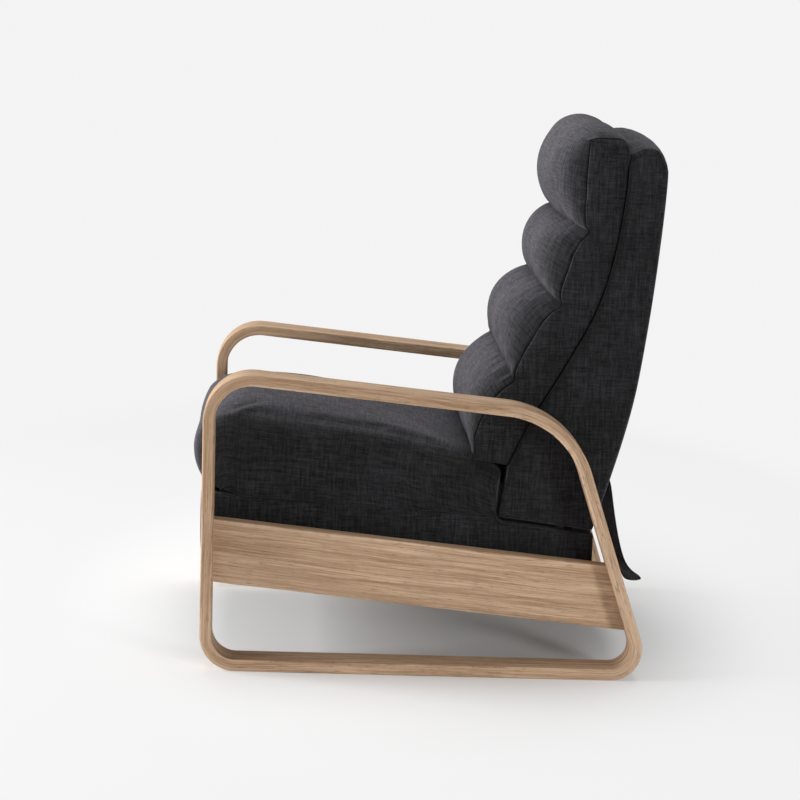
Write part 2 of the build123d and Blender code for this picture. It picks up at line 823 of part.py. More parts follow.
def footrest_section(share, crown):
    """One upright slice of the footrest pad."""
    pull = footrest_edge * (1 - crown) / 2
    rear = footrest_pad_thickness - footrest_front
    front = footrest_crown * (1 - crown) - footrest_front
    low, high = footrest_low + pull, footrest_high - pull
    shoulder = front + footrest_crown
    lines = [Line((rear, high), (rear, low)),
             Line((rear, low), (shoulder, low)),
             ThreePointArc((shoulder, low), (front, (low + high) / 2), (shoulder, high)),
             Line((shoulder, high), (rear, high))]
    return Plane.YZ.offset(share * footrest_pad_half_width) * make_face(Wire(lines))


def footrest_pad():
    """The crowned pad on the front of the footrest."""
    return loft([footrest_section(share, crown) for share, crown in crown_station_shares])


def back_front_points():
    """Front edge of a back side board, from its foot up along the cushion."""
    edge = [(y + back_edge_gap, z) for y, z in (back_point(share) for share in back_line_shares)]
    return [back_foot] + edge


def outer_points(inset):
    """Rear edge of the back from the top down, drawn in by an inset."""
    points = [back_point(share) for share in outer_line_shares]
    if inset == 0:
        return points
    moved = []
    for number, (y, z) in enumerate(points):
        before = points[max(number - 1, 0)]
        after = points[min(number + 1, len(points) - 1)]
        run = Vector(after[0] - before[0], after[1] - before[1]).normalized()
        moved.append((y + run.Y * inset, z - run.X * inset))
    return moved


def back_side_points(inset):
    """Whole side outline of the back."""
    return back_front_points()[:-1] + outer_points(inset) + [(back_heel_depth, back_heel_height)]


def back_side_board():
    """The wooden side of the back frame."""
    board = plate(back_side_points(cover_thickness), back_board_inner, back_board_outer)
    board -= cross_pin(hinge, hinge_pin_radius * 2, back_board_inner, back_board_inner + hinge_pocket_depth)
    for screw in hinge_screws():
        board -= screw
    return board


def outer_panel():
    """The curved panel that closes the rear of the back frame."""
    low, high = panel_span_shares

    def line(inset):
        """The stretch of the rear edge that the panel covers."""
        points = zip(outer_line_shares, outer_points(inset))
        return [point for share, point in points if low < share[1] < high]

    outer = line(cover_thickness)
    inner = line(cover_thickness + outer_panel_thickness)
    return plate(outer + inner[::-1], -back_board_inner, back_board_inner)


def back_cover():
    """The upholstery over the sides, top and rear of the back."""
    whole = plate(back_side_points(0), -back_half_width, back_half_width)
    inner = outer_points(cover_thickness)
    ahead = (back_foot_depth - back_run, inner[0][1])
    hem = inner[-1]
    low = back_heel_height - back_rail_height
    core_points = inner + [(hem[0] + back_run, hem[1]), (hem[0] + back_run, low), (ahead[0], low), ahead]
    core = plate(core_points, -back_board_outer, back_board_outer)
    return whole - core


def back_rail(point, tilt):
    """A rail between the side boards of the back."""
    return cross_bar(point, tilt, back_rail_width, back_rail_height, -back_board_inner, back_board_inner)


def back_top_rail():
    """The rail at the top of the back frame."""
    y, z = back_point(top_rail_shares)
    return back_rail((y, z - back_rail_height), 0)


def back_middle_rail():
    """The rail behind the middle of the back."""
    return back_rail(back_point(middle_rail_shares), -back_rail_tilt_degrees)


def back_bottom_rail():
    """The rail at the foot of the back, above the seat frame."""
    corner = (back_foot_depth + bottom_rail_inset, back_foot_height + bottom_rail_rise)
    return back_rail(corner, -back_rail_tilt_degrees)


def back_webbing():
    """Elastic straps across the back frame, just behind the cushion."""
    edge = back_front_points()[1:]
    wire = Polyline(*edge)
    straps = []
    for number in range(back_strap_count):
        share = (number + 0.5) / back_strap_count
        spot = wire @ share
        lean = wire % share
        tilt = direction((0, 0), (lean.X, lean.Y))
        start = along((spot.X, spot.Y), tilt, -strap_width / 2)
        start = along(start, tilt - 90, strap_thickness * 2)
        strap = cross_bar(start, tilt, strap_width, strap_thickness, -back_board_inner, back_board_inner)
        straps.append(strap)
    return Compound(children=[strap.solids()[0] for strap in straps])


def back_section(share, crown):
    """One lengthwise slice of the back cushion with its four rolls."""
    creases = []
    for side, middle in zip(side_crease_shares, crown_crease_shares):
        creases.append(back_point(between(side, middle, crown)))
    top = back_point(between(side_top_shares, crown_top_shares, crown))
    line = [back_point(spot) for spot in back_line_shares]
    pieces = [Line(line[0], creases[0])]
    for number in range(len(creases) - 1):
        low, high = creases[number], creases[number + 1]
        bulge = side_bulge_shares[number] + (crown_bulge_shares[number] - side_bulge_shares[number]) * crown
        chord = Vector(high[0] - low[0], high[1] - low[1]).normalized()
        middle = between(low, high, 0.5)
        crest = (middle[0] - chord.Y * bulge * back_rise, middle[1] + chord.X * bulge * back_rise)
        pieces.append(ThreePointArc(low, crest, high))
    pieces.append(ThreePointArc(creases[-1], top, line[-1]))
    for number in range(len(line) - 1, 0, -1):
        pieces.append(Line(line[number], line[number - 1]))
    return Plane.YZ.offset(share * back_cushion_half_width) * make_face(Wire(pieces))


def back_cushion():
    """The back cushion: a head roll and three rolls below it."""
    return loft([back_section(share, crown) for share, crown in crown_station_shares])


def hinge_bracket():
    """The steel arm on a back board that turns on the hinge pin."""
    low_x = board_inner + hinge_clearance
    lean = hinge_bracket_degrees
    far = along(hinge, lean, hinge_bracket_length)
    half = hinge_bracket_width / 2
    points = (along(hinge, lean - 90, half), along(far, lean - 90, half),
              along(far, lean + 90, half), along(hinge, lean + 90, half))
    arm = plate(points, low_x, back_board_inner) + cross_pin(hinge, half, low_x, back_board_inner)
    arm -= cross_pin(hinge, hinge_pin_radius, low_x - steel_thickness, back_board_inner + steel_thickness)
    for point in hinge_bolt_points():
        arm -= cross_pin(point, wood_screw_radius, low_x - steel_thickness, back_board_outer)
    return arm


def hinge_bolt_points():
    """Where each hinge arm is screwed to its back board."""
    return [along(hinge, hinge_bracket_degrees, hinge_bracket_length * share) for share in hinge_screw_shares]


def hinge_screws():
    """Screws that hold the hinge arms to the back boards."""
    screws = []
    low_x = board_inner + hinge_clearance
    for point in hinge_bolt_points():
        shank = cross_pin(point, wood_screw_radius, low_x, low_x + wood_screw_length)
        head = cross_pin(point, wood_screw_head_radius, low_x - wood_screw_head_height, low_x)
        screws.append(shank + head)
    return screws


def hinge_pins():
    """The pins that the back turns on."""
    inner_end = plate_inner - hinge_clearance
    outer_end = back_board_inner + hinge_pocket_depth - part_gap
    shank = cross_pin(hinge, hinge_pin_radius, inner_end, outer_end)
    head = cross_pin(hinge, hinge_pin_head_radius, inner_end - pin_head_height, inner_end)
    return both_sides([shank + head])


def rear_flap():
    """The cloth that hangs from the back and hides the mechanism."""
    hem = (outer_points(0)[-1][0], outer_points(cover_thickness)[-1][1])
    top = (hem[0], hem[1] - flap_gap)
    tip = (top[0] + flap_flare, top[1] - flap_drop)
    waist = between(top, tip, 0.5)
    waist = (waist[0] - flap_bow, waist[1])
    far_top = (top[0] - flap_thickness, top[1])
    far_tip = (tip[0] - flap_thickness, tip[1] - flap_thickness)
    far_waist = (waist[0] - flap_thickness, waist[1])
    lines = [ThreePointArc(top, waist, tip), Line(tip, far_tip), ThreePointArc(far_tip, far_waist, far_top),
             Line(far_top, top)]
    return flat(Wire(lines), -flap_half_width, flap_half_width)


def parts():
    """Every piece of the chair under its own name."""
    pieces = {}

    def pair(name, shape):
        pieces[name + "_left"] = shape
        pieces[name + "_right"] = other_side(shape)

    pair("loop", loop())
    pair("side_rail", side_rail())
    pieces["front_stretcher"] = stretcher(front_stretcher_depth)
    pieces["rear_stretcher"] = stretcher(rear_stretcher_depth)
    pair("slide_channel", slide_channel())
    pieces["loop_bolts"] = loop_bolts()
    pieces["channel_screws"] = both_sides(channel_screws())

    pair("seat_side_board", seat_side_board())
    pair("seat_side_cover", seat_side_cover())
    pieces["seat_front_rail"] = seat_front_rail()
    pieces["seat_rear_rail"] = seat_rear_rail()
    pieces["seat_tail_rail"] = seat_tail_rail()
    pieces["seat_webbing"] = seat_webbing()
    pieces["seat_cushion"] = seat_cushion()
    pair("slide_runner", slide_runner())
    pieces["glide_blocks"] = glide_blocks()
    pair("mechanism_plate", mechanism_plate())
    pieces["plate_screws"] = both_sides(plate_screws())
    pieces["drive_pins"] = drive_pins()

    pair("back_side_board", back_side_board())
    pieces["back_cover"] = back_cover()
    pieces["outer_back_panel"] = outer_panel()
    pieces["back_top_rail"] = back_top_rail()
    pieces["back_middle_rail"] = back_middle_rail()
    pieces["back_bottom_rail"] = back_bottom_rail()
    pieces["back_webbing"] = back_webbing()
    pieces["back_cushion"] = back_cushion()
    pair("hinge_bracket", hinge_bracket())
    pieces["hinge_screws"] = both_sides(hinge_screws())
    pieces["hinge_pins"] = hinge_pins()
    pieces["rear_flap"] = rear_flap()

    pair("front_link", front_link())
    pair("rear_link", rear_link())
    pieces["drive_tube"] = drive_tube()
    pair("long_link", long_link())
    pieces["long_link_pins"] = both_sides([layer_pin(heel_pivot, layer_a, layer_b),
                                           layer_pin(crossing_pivot, layer_a, layer_b)])
    pair("cross_link", cross_link())
    pieces["cross_link_pins"] = both_sides([layer_pin(knee_pivot, layer_a, layer_b),
                                            layer_pin(control_pivot, layer_b, layer_c)])
    pair("control_link", control_link())
    pair("footrest_bracket", footrest_bracket())
    pieces["control_link_pins"] = both_sides([layer_pin(lug_pivot, layer_b, layer_c)])
    pieces["footrest_pins"] = both_sides([layer_pin(carrier_pivot, layer_a, layer_b)])
    pieces["footrest_screws"] = both_sides(footrest_screws())
    pieces["footrest_board"] = footrest_board()
    pieces["footrest_pad"] = footrest_pad()
    return pieces


def main():
    """Writes one file for each piece."""
    os.makedirs("parts", exist_ok=True)
    for name, shape in parts().items():
        export_step(Pos(0, -middle_depth, 0) * shape, f"parts/{name}.step")
        print(name, len(shape.solids()), "solids")


main()
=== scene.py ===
"""Dresses the reclining armchair: bentwood, linen upholstery, steel fittings, floor, light and camera."""

import json
import logging
import math
from collections.abc import Callable
from dataclasses import dataclass
from enum import Enum

import bpy
import numpy as np
from mathutils import Matrix, Vector, noise
from mathutils.kdtree import KDTree


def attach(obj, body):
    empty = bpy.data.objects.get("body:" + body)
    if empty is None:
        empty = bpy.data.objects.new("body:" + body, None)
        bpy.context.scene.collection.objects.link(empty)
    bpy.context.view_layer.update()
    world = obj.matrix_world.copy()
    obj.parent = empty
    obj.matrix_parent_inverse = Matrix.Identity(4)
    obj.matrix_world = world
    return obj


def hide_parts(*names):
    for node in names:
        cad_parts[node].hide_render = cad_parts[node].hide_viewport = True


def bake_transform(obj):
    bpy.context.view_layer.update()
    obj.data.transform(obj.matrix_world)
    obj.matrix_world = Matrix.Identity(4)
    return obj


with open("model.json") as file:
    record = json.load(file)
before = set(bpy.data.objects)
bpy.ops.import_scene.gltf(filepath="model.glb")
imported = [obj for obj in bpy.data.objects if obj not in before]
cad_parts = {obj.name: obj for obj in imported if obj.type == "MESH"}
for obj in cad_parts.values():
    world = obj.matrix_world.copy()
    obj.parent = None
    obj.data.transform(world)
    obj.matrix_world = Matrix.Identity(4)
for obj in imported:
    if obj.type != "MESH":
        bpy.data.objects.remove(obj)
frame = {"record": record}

Triple = tuple[float, float, float]
Point = tuple[float, float]
Socket = bpy.types.NodeSocket

LOG = logging.getLogger("armchair")
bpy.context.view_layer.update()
MIDDLE_DEPTH = 398.625
RAIL_FALL_DEGREES = 5.35
MM = 0.001
TINY = 1e-9
# Thickness of the drawn skins and of the flap, in metres
SKIN = 0.0012
FLAP_CLOTH = 0.0018
# Points closer than this grid are one vertex
WELDS_PER_METRE = 2e5
# Names of the mesh data that the cloth's finish reads: the flat cloth map, and the painted shade along seams,
# creases and hems
CLOTH_MAP = "cloth"
SEAM_SHADE = "seam"


def side_point(depth: float, height: float) -> np.ndarray:
    """A side view point in millimetres as row frame depth and height in metres."""
    return np.array([(depth - MIDDLE_DEPTH) * MM, height * MM])


def side_points(points: tuple[Point, ...]) -> np.ndarray:
    """Side view points in millimetres as one line in metres."""
    return np.array([side_point(*point) for point in points])


def between(low: np.ndarray, high: np.ndarray, share: float) -> np.ndarray:
    """The point part of the way from one point to another."""
    return low + (high - low) * share


def even(count: int) -> np.ndarray:
    """Even shares from 0 to 1 in a number of steps."""
    return np.linspace(0, 1, count + 1)


def stepped(bounds: tuple[float, ...], steps: tuple[int, ...]) -> np.ndarray:
    """Shares that start at 0 and step evenly from each bound to the next."""
    parts = [np.linspace(a, b, n + 1)[1:] for a, b, n in zip(bounds, bounds[1:], steps)]
    return np.concatenate([[0.0], *parts])


def crowded(count: int, bend: float) -> np.ndarray:
    """Places from -1 to 1 that stand closer together towards both ends."""
    return np.sin(np.linspace(-1, 1, count) * math.pi / 2 * bend) / math.sin(math.pi / 2 * bend)


def running(steps: np.ndarray) -> np.ndarray:
    """Running sum that starts at 0."""
    return np.concatenate([[0], np.cumsum(steps)])


def arc_points(start: np.ndarray, through: np.ndarray, end: np.ndarray, count: int) -> np.ndarray:
    """Points along the circle arc through three side view points.

    Args:
        start: first point.
        through: a point on the arc.
        end: last point.
        count: how many steps the arc is divided into.

    Returns:
        count + 1 points, both ends included.
    """
    (ax, ay), (bx, by), (cx, cy) = start, through, end
    spread = 2 * (ax * (by - cy) + bx * (cy - ay) + cx * (ay - by))
    if abs(spread) < TINY:
        return between(start, end, even(count)[:, None])
    sa, sb, sc = ax * ax + ay * ay, bx * bx + by * by, cx * cx + cy * cy
    centre = np.array([(sa * (by - cy) + sb * (cy - ay) + sc * (ay - by)) / spread,
                       (sa * (cx - bx) + sb * (ax - cx) + sc * (bx - ax)) / spread])
    radius = float(np.hypot(*(start - centre)))
    first, middle, last = (math.atan2(*(p - centre)[::-1]) for p in (start, through, end))
    turn = (last - first) % (2 * math.pi)
    if (middle - first) % (2 * math.pi) > turn:
        turn -= 2 * math.pi
    angles = first + turn * np.linspace(0, 1, count + 1)
    return centre + radius * np.stack([np.cos(angles), np.sin(angles)], -1)


def resample(points: np.ndarray, places: np.ndarray) -> np.ndarray:
    """Points at shares of a polyline's length.

    Args:
        points: the polyline.
        places: shares from 0 to 1.

    Returns:
        One point for each share.
    """
    reach = running(np.hypot(*np.diff(points, axis=0).T))
    return np.stack([np.interp(places * reach[-1], reach, points[:, i]) for i in range(2)], -1)


def round_off(points: np.ndarray, rounds: int = 3) -> np.ndarray:
    """Cuts the corners of a polyline several times, with its ends kept.

    Args:
        points: the polyline.
        rounds: how often the corners are cut.

    Returns:
        The smoother polyline.
    """
    for _ in range(rounds):
        low, high = points[:-1], points[1:]
        cut = np.stack([low * 0.75 + high * 0.25, low * 0.25 + high * 0.75], 1).reshape(-1, 2)
        points = np.concatenate([points[:1], cut, points[-1:]])
    return points


def inward(points: np.ndarray, closed: bool) -> np.ndarray:
    """Unit normals on the right hand of a line in the side view.

    Args:
        points: the line.
        closed: whether it is a loop.

    Returns:
        One normal for each point.
    """
    if closed:
        run = np.roll(points, -1, 0) - np.roll(points, 1, 0)
    else:
        run = np.gradient(points, axis=0)
    normal = np.stack([run[:, 1], -run[:, 0]], -1)
    return normal / np.maximum(np.hypot(*normal.T), TINY)[:, None]


def crown(share: float) -> float:
    """How full a cushion is across its width, from 1 in the middle to 0 at a side."""
    return max(0.0, 1 - abs(share) ** 4) ** 0.7


def span(low: np.ndarray, high: np.ndarray, steps: np.ndarray) -> np.ndarray:
    """A grid whose rows lead from one line of points to another, one row for each share."""
    return low + (high - low) * steps[:, None, None]


def loft(x: np.ndarray, lines: list[np.ndarray]) -> np.ndarray:
    """A grid whose columns are side view lines, each at its own place across the chair."""
    return np.stack([np.column_stack([np.full(len(line), wide), line]) for wide, line in zip(x, lines)], 1)


class Body(Enum):
    """The moving bodies that pieces ride on."""

    BASE = "base"
    SEAT = "seat"
    BACK = "back"
    FOOTREST = "footrest"


class Grain(Enum):
    """Which way the wood grain runs."""

    LOOP = "round the loop"
    RAIL = "along the rail"
    CROSS = "across the chair"
    UPRIGHT = "up the board"


class Graph:
    """Adds and links shader nodes in one tree."""

    def __init__(self, tree: bpy.types.NodeTree) -> None:
        """Starts from an empty tree."""
        self.tree = tree
        tree.nodes.clear()

    def feed(self, node: bpy.types.Node, feeds: dict[str | int, object]) -> bpy.types.Node:
        """Feeds a node's inputs, by name or number, from sockets or with constants."""
        for key, source in feeds.items():
            target = node.inputs[key]
            if isinstance(source, Socket):
                self.tree.links.new(source, target)
            else:
                target.default_value = (*source, 1.0) if target.type == "RGBA" else source
        return node

    def node(self, kind: str, feeds: dict[str | int, object] | None = None, **values: object) -> bpy.types.Node:
        """Adds a node, sets its properties and feeds its inputs."""
        made = self.tree.nodes.new(kind)
        for name, value in values.items():
            setattr(made, name, value)
        return self.feed(made, feeds or {})

    def math(self, kind: str, *values: object) -> Socket:
        """One math step on sockets or numbers."""
        return self.node("ShaderNodeMath", dict(enumerate(values)), operation=kind).outputs[0]

    def add(self, first: object, second: object) -> Socket:
        """The sum of two values."""
        return self.math("ADD", first, second)

    def sub(self, first: object, second: object) -> Socket:
        """The difference of two values."""
        return self.math("SUBTRACT", first, second)

    def mul(self, first: object, second: object) -> Socket:
        """The product of two values."""
        return self.math("MULTIPLY", first, second)

    def dot(self, y: object, y_part: object, z: object, z_part: object) -> Socket:
        """The sum of two products."""
        return self.add(self.mul(y, y_part), self.mul(z, z_part))

    def split(self, vector: object) -> list[Socket]:
        """The three parts of a vector."""
        return list(self.node("ShaderNodeSeparateXYZ", {0: vector}).outputs)

    def join(self, *parts: object) -> Socket:
        """A vector from three parts."""
        return self.node("ShaderNodeCombineXYZ", dict(enumerate(parts))).outputs[0]

    def noise(self, vector: object, scale: float, detail: float = 3.0, rough: float = 0.5) -> Socket:
        """A noise value between 0 and 1."""
        feeds = {"Vector": vector, "Scale": scale, "Detail": detail, "Roughness": rough}
        return self.node("ShaderNodeTexNoise", feeds).outputs["Fac"]

    def ramp(self, value: object, low: float, high: float, to_low: float = 0.0, to_high: float = 1.0) -> Socket:
        """Maps a range of values smoothly onto another."""
        feeds = {"Value": value, "From Min": low, "From Max": high, "To Min": to_low, "To Max": to_high}
        return self.node("ShaderNodeMapRange", feeds, interpolation_type="SMOOTHSTEP").outputs["Result"]

    def mix(self, share: object, first: object, second: object) -> Socket:
        """A mix of two colours."""
        return self.node("ShaderNodeMix", {"Factor": share, 6: first, 7: second}, data_type="RGBA").outputs[2]

    def surface(self, feeds: dict[str | int, object], height: object, strength: float, distance: float) -> None:
        """Ends a material in one shader with relief.

        Args:
            feeds: what the shader's inputs get.
            height: the relief.
            strength: how strongly the relief shows.
            distance: how high the relief is, in metres.
        """
        bump = self.node("ShaderNodeBump", {"Height": height, "Strength": strength, "Distance": distance})
        shader = self.node("ShaderNodeBsdfPrincipled", {**feeds, "Normal": bump.outputs[0]})
        self.node("ShaderNodeOutputMaterial", {0: shader.outputs[0]})


def new_material(name: str) -> tuple[bpy.types.Material, Graph]:
    """Starts a material with an empty tree."""
    material = bpy.data.materials.new(name)
    material.use_nodes = True
    return material, Graph(material.node_tree)


def new_group(name: str, entries: dict[str, tuple[str, object]], exits: tuple[str, ...],
              kind: str = "NodeSocketFloat") -> tuple[bpy.types.NodeTree, Graph, bpy.types.Node, bpy.types.Node]:
    """Starts a shader node group with named sockets.

    Args:
        name: the group's name.
        entries: socket kind and default value by input name.
        exits: the outputs' names.
        kind: the outputs' socket kind.

    Returns:
        The group, its graph, its input node and its output node.
    """
    group = bpy.data.node_groups.new(name, "ShaderNodeTree")
    for label, (entry, value) in entries.items():
        socket = group.interface.new_socket(label, in_out="INPUT", socket_type=entry)
        if value is not None:
            socket.default_value = value
    for label in exits:
        group.interface.new_socket(label, in_out="OUTPUT", socket_type=kind)
    graph = Graph(group)
    return group, graph, graph.node("NodeGroupInput"), graph.node("NodeGroupOutput")


def dimmed(color: Triple, share: float) -> Triple:
    """A darker colour of the same hue."""
    return tuple(part * share for part in color)


@dataclass(frozen=True)
class LoopField:
    """The outline of a bentwood loop, from which the grain takes its direction."""

    arm_height: float = 0.5555
    arm_fall: float = 5.1
    foot_length: float = 0.8315
    rear_lean: float = 18.8
    radii: tuple[float, ...] = (0.066, 0.087, 0.180, 0.057)
    heart: Point = (400.0, 260.0)
    reach: float = 0.42
    ring_slant: float = 0.9

    def sides(self) -> list[tuple[np.ndarray, np.ndarray]]:
        """A point on each side and its inward normal: front, arm, rear, foot."""
        start = side_point(0, 0)
        arm = start + np.array([0, self.arm_height])
        rear = start + np.array([self.foot_length, 0])
        fall, lean = math.radians(self.arm_fall), math.radians(self.rear_lean)
        return [(start, np.array([1.0, 0.0])),
                (arm, np.array([-math.sin(fall), -math.cos(fall)])),
                (rear, np.array([-math.cos(lean), -math.sin(lean)])),
                (start, np.array([0.0, 1.0]))]

    def group(self) -> bpy.types.NodeTree:
        """Builds the node group that turns a place into a place along and across the band."""
        group, graph, entry, leave = new_group("loop_field", {"Position": ("NodeSocketVector", None)},
                                               ("Vector",), "NodeSocketVector")
        x, y, z = graph.split(entry.outputs[0])
        sides = self.sides()
        depths = [graph.dot(graph.sub(y, point[0]), normal[0], graph.sub(z, point[1]), normal[1])
                  for point, normal in sides]
        depth = graph.math("MINIMUM", graph.math("MINIMUM", *depths[:2]), graph.math("MINIMUM", *depths[2:]))
        for number, radius in enumerate(self.radii):
            (pa, na), (pb, nb) = sides[number - 1], sides[number]
            centre = np.linalg.solve(np.array([na, nb]), np.array([na @ pa + radius, nb @ pb + radius]))
            dy, dz = graph.sub(y, centre[0]), graph.sub(z, centre[1])
            rounded = graph.sub(radius, graph.math("SQRT", graph.dot(dy, dy, dz, dz)))
            # The corner's rounding counts only past both of its tangent points
            past = [graph.math("GREATER_THAN", graph.dot(dy, way[0], dz, way[1]), 0.0)
                    for way in ((nb @ na) * na - nb, (na @ nb) * nb - na)]
            depth = graph.add(depth, graph.mul(graph.mul(*past), graph.sub(rounded, depth)))
        heart = side_point(*self.heart)
        turn = graph.math("ARCTAN2", graph.sub(z, heart[1]), graph.sub(y, heart[0]))
        along = [graph.mul(graph.math(kind, turn), self.reach) for kind in ("COSINE", "SINE")]
        across = graph.add(depth, graph.mul(x, self.ring_slant))
        graph.feed(leave, {0: graph.join(*along, across)})
        return group


class Shared:
    """Node groups that more than one finish uses, built once."""

    def __init__(self) -> None:
        """Builds the groups."""
        self.loop_field = LoopField().group()
        self.grain = self._grain()
        self.slub = self._slub()

    @staticmethod
    def _grain() -> bpy.types.NodeTree:
        """Wood grain: the vector's third part runs across the grain, the first two along it."""
        group, graph, entry, leave = new_group(
            "wood_grain", {"Vector": ("NodeSocketVector", None), "Contrast": ("NodeSocketFloat", 1.0)},
            ("Tone", "Pores", "Height"))
        u, v, w = graph.split(entry.outputs["Vector"])

        def stretched(along: float, across: object, scale: float, detail: float, rough: float) -> Socket:
            """Noise drawn out along the grain."""
            place = graph.join(graph.mul(u, along), graph.mul(v, along), graph.mul(across, scale))
            return graph.noise(place, 1.0, detail, rough)

        wander = stretched(1.6, w, 9.0, 2.0, 0.5)
        bent = graph.add(w, graph.mul(graph.sub(wander, 0.5), 0.024))
        wide = stretched(1.4, bent, 75.0, 3.0, 0.6)
        fine = stretched(7.0, bent, 430.0, 4.0, 0.7)
        dash = stretched(38.0, bent, 540.0, 3.0, 0.7)
        swing = graph.sub(graph.dot(wide, 0.38, fine, 0.62), 0.5)
        pores = graph.ramp(dash, 0.54, 0.70)
        graph.feed(leave, {"Tone": graph.add(0.5, graph.mul(swing, entry.outputs["Contrast"])), "Pores": pores,
                           "Height": graph.dot(fine, 0.5, pores, -0.6)})
        return group

    @staticmethod
    def _slub(thread_pitch: float = 0.0016) -> bpy.types.NodeTree:
        """Slubbed linen from a flat cloth coordinate in metres."""
        group, graph, entry, leave = new_group("slub_linen", {"Cloth": ("NodeSocketVector", None)},
                                               ("Tone", "Height", "Dust"))
        u, v, _ = graph.split(entry.outputs["Cloth"])
        tones, heights = [], []
        for first, second, offset in ((u, v, 0.0), (v, u, 7.3)):
            slub, streak = (
                graph.noise(graph.join(graph.mul(first, along), graph.mul(second, across), offset + shift),
                            1.0, detail, rough)
                for along, across, shift, detail, rough in ((55.0, 620.0, 0.0, 2.5, 0.7),
                                                            (20.0, 240.0, 3.0, 3.0, 0.65)))
            tones.append(graph.dot(slub, 0.5, streak, 0.5))
            thread = graph.math("SINE", graph.mul(second, 2 * math.pi / thread_pitch))
            heights.append(graph.add(graph.add(graph.mul(thread, 0.2), slub), graph.mul(streak, 2.2)))
        tone = graph.mul(graph.add(*tones), 0.5)
        graph.feed(leave, {"Tone": graph.ramp(tone, 0.395, 0.62), "Height": graph.mul(graph.add(*heights), 0.5),
                           "Dust": graph.noise(graph.join(u, v, 1.0), 7.0)})
        return group


@dataclass(frozen=True)
class Wood:
    """A clear-finished wood, or a near black one that stands in for shade in the frame's gaps."""

    name: str
    pale: Triple
    dark: Triple
    pore: Triple
    grain: Grain
    contrast: float = 5.4
    roughness: float = 0.64
    specular: float = 0.3
    ring_slant: float = 0.8

    def direction(self, graph: Graph, place: Socket, shared: Shared) -> Socket:
        """The place turned so that its third part runs across the grain."""
        if self.grain is Grain.LOOP:
            return graph.node("ShaderNodeGroup", node_tree=shared.loop_field, feeds={0: place}).outputs[0]
        x, y, z = graph.split(place)
        if self.grain is Grain.RAIL:
            tilt = math.radians(RAIL_FALL_DEGREES)
            length = graph.dot(y, math.cos(tilt), z, -math.sin(tilt))
            over, aside = graph.dot(y, math.sin(tilt), z, math.cos(tilt)), x
        else:
            length, over, aside = (x, z, y) if self.grain is Grain.CROSS else (z, y, x)
        return graph.join(length, 0.0, graph.add(over, graph.mul(aside, self.ring_slant)))

    def build(self, shared: Shared) -> bpy.types.Material:
        """Makes the material."""
        material, graph = new_material(self.name)
        place = graph.node("ShaderNodeTexCoord").outputs["Object"]
        grain = graph.node("ShaderNodeGroup", node_tree=shared.grain,
                           feeds={"Vector": self.direction(graph, place, shared), "Contrast": self.contrast}).outputs
        base = graph.mix(grain["Tone"], self.dark, self.pale)
        base = graph.mix(graph.mul(grain["Pores"], 0.72), base, self.pore)
        base = graph.mix(graph.ramp(graph.noise(place, 5.0, 2.0), 0.35, 0.75, 0.0, 0.25), base, self.dark)
        rough = graph.ramp(grain["Tone"], 0.0, 1.0, self.roughness + 0.08, self.roughness - 0.04)
        graph.surface({"Base Color": base, "Roughness": rough, "Specular IOR Level": self.specular},
                      grain["Height"], 0.25, 0.0006)
        return material


@dataclass(frozen=True)
class Linen:
    """A slubbed woven upholstery cloth that follows the piece's own flat cloth map, with a painted sheen at grazing
    views and painted shade along seams.
    """

    name: str
    low: Triple
    high: Triple
    # Colour of the painted sheen that the cloth turns to at grazing views
    painted_sheen: Triple = (0.135, 0.128, 0.145)
    sheen: float = 0.03
    strength: float = 0.75

    def build(self, shared: Shared) -> bpy.types.Material:
        """Makes the material."""
        material, graph = new_material(self.name)
        cloth = graph.node("ShaderNodeUVMap", uv_map=CLOTH_MAP).outputs[0]
        weave = graph.node("ShaderNodeGroup", node_tree=shared.slub, feeds={"Cloth": cloth}).outputs
        base = graph.mix(weave["Tone"], self.low, self.high)
        base = graph.mix(graph.ramp(weave["Dust"], 0.35, 0.7, 0.0, 0.35), base, dimmed(self.low, 0.72))
        # Painted sheen: towards grazing views the colour is mixed into a lighter, weave-textured tone
        facing = graph.node("ShaderNodeLayerWeight", {"Blend": 0.5}).outputs["Facing"]
        painted_sheen = graph.mix(weave["Tone"], dimmed(self.painted_sheen, 0.32), self.painted_sheen)
        base = graph.mix(graph.ramp(facing, 0.25, 1.0, 0.0, 0.9), base, painted_sheen)
        # Painted shade along seams, creases and hems: the cloth darkens where the mesh value is high
        seam_shade = graph.node("ShaderNodeAttribute", attribute_name=SEAM_SHADE).outputs["Fac"]
        base = graph.mix(graph.mul(seam_shade, 0.85), base, dimmed(self.low, 0.3))
        graph.surface({"Base Color": base, "Roughness": graph.ramp(weave["Tone"], 0.0, 1.0, 0.97, 0.85),
                       "Sheen Weight": self.sheen, "Sheen Roughness": 0.45, "Sheen Tint": (0.94, 0.92, 1.0),
                       "Specular IOR Level": 0.2}, weave["Height"], self.strength, 0.0012)
        return material


@dataclass(frozen=True)
class Metal:
    """A plated or powder coated steel, or a plastic when it isn't metallic."""

    name: str
    color: Triple
    metallic: float
    roughness: float
    speckle: float

    def build(self) -> bpy.types.Material:
        """Makes the material."""
        material, graph = new_material(self.name)
        place = graph.node("ShaderNodeTexCoord").outputs["Object"]
        smear = graph.noise(place, 22.0, 4.0)
        rough = graph.ramp(smear, 0.3, 0.7, self.roughness - 0.08, self.roughness + 0.1)
        graph.surface({"Base Color": graph.mix(smear, self.color, dimmed(self.color, 0.7)),
                       "Metallic": self.metallic, "Roughness": rough},
                      graph.noise(place, 900.0, 2.0), self.speckle, 0.0003)
        return material


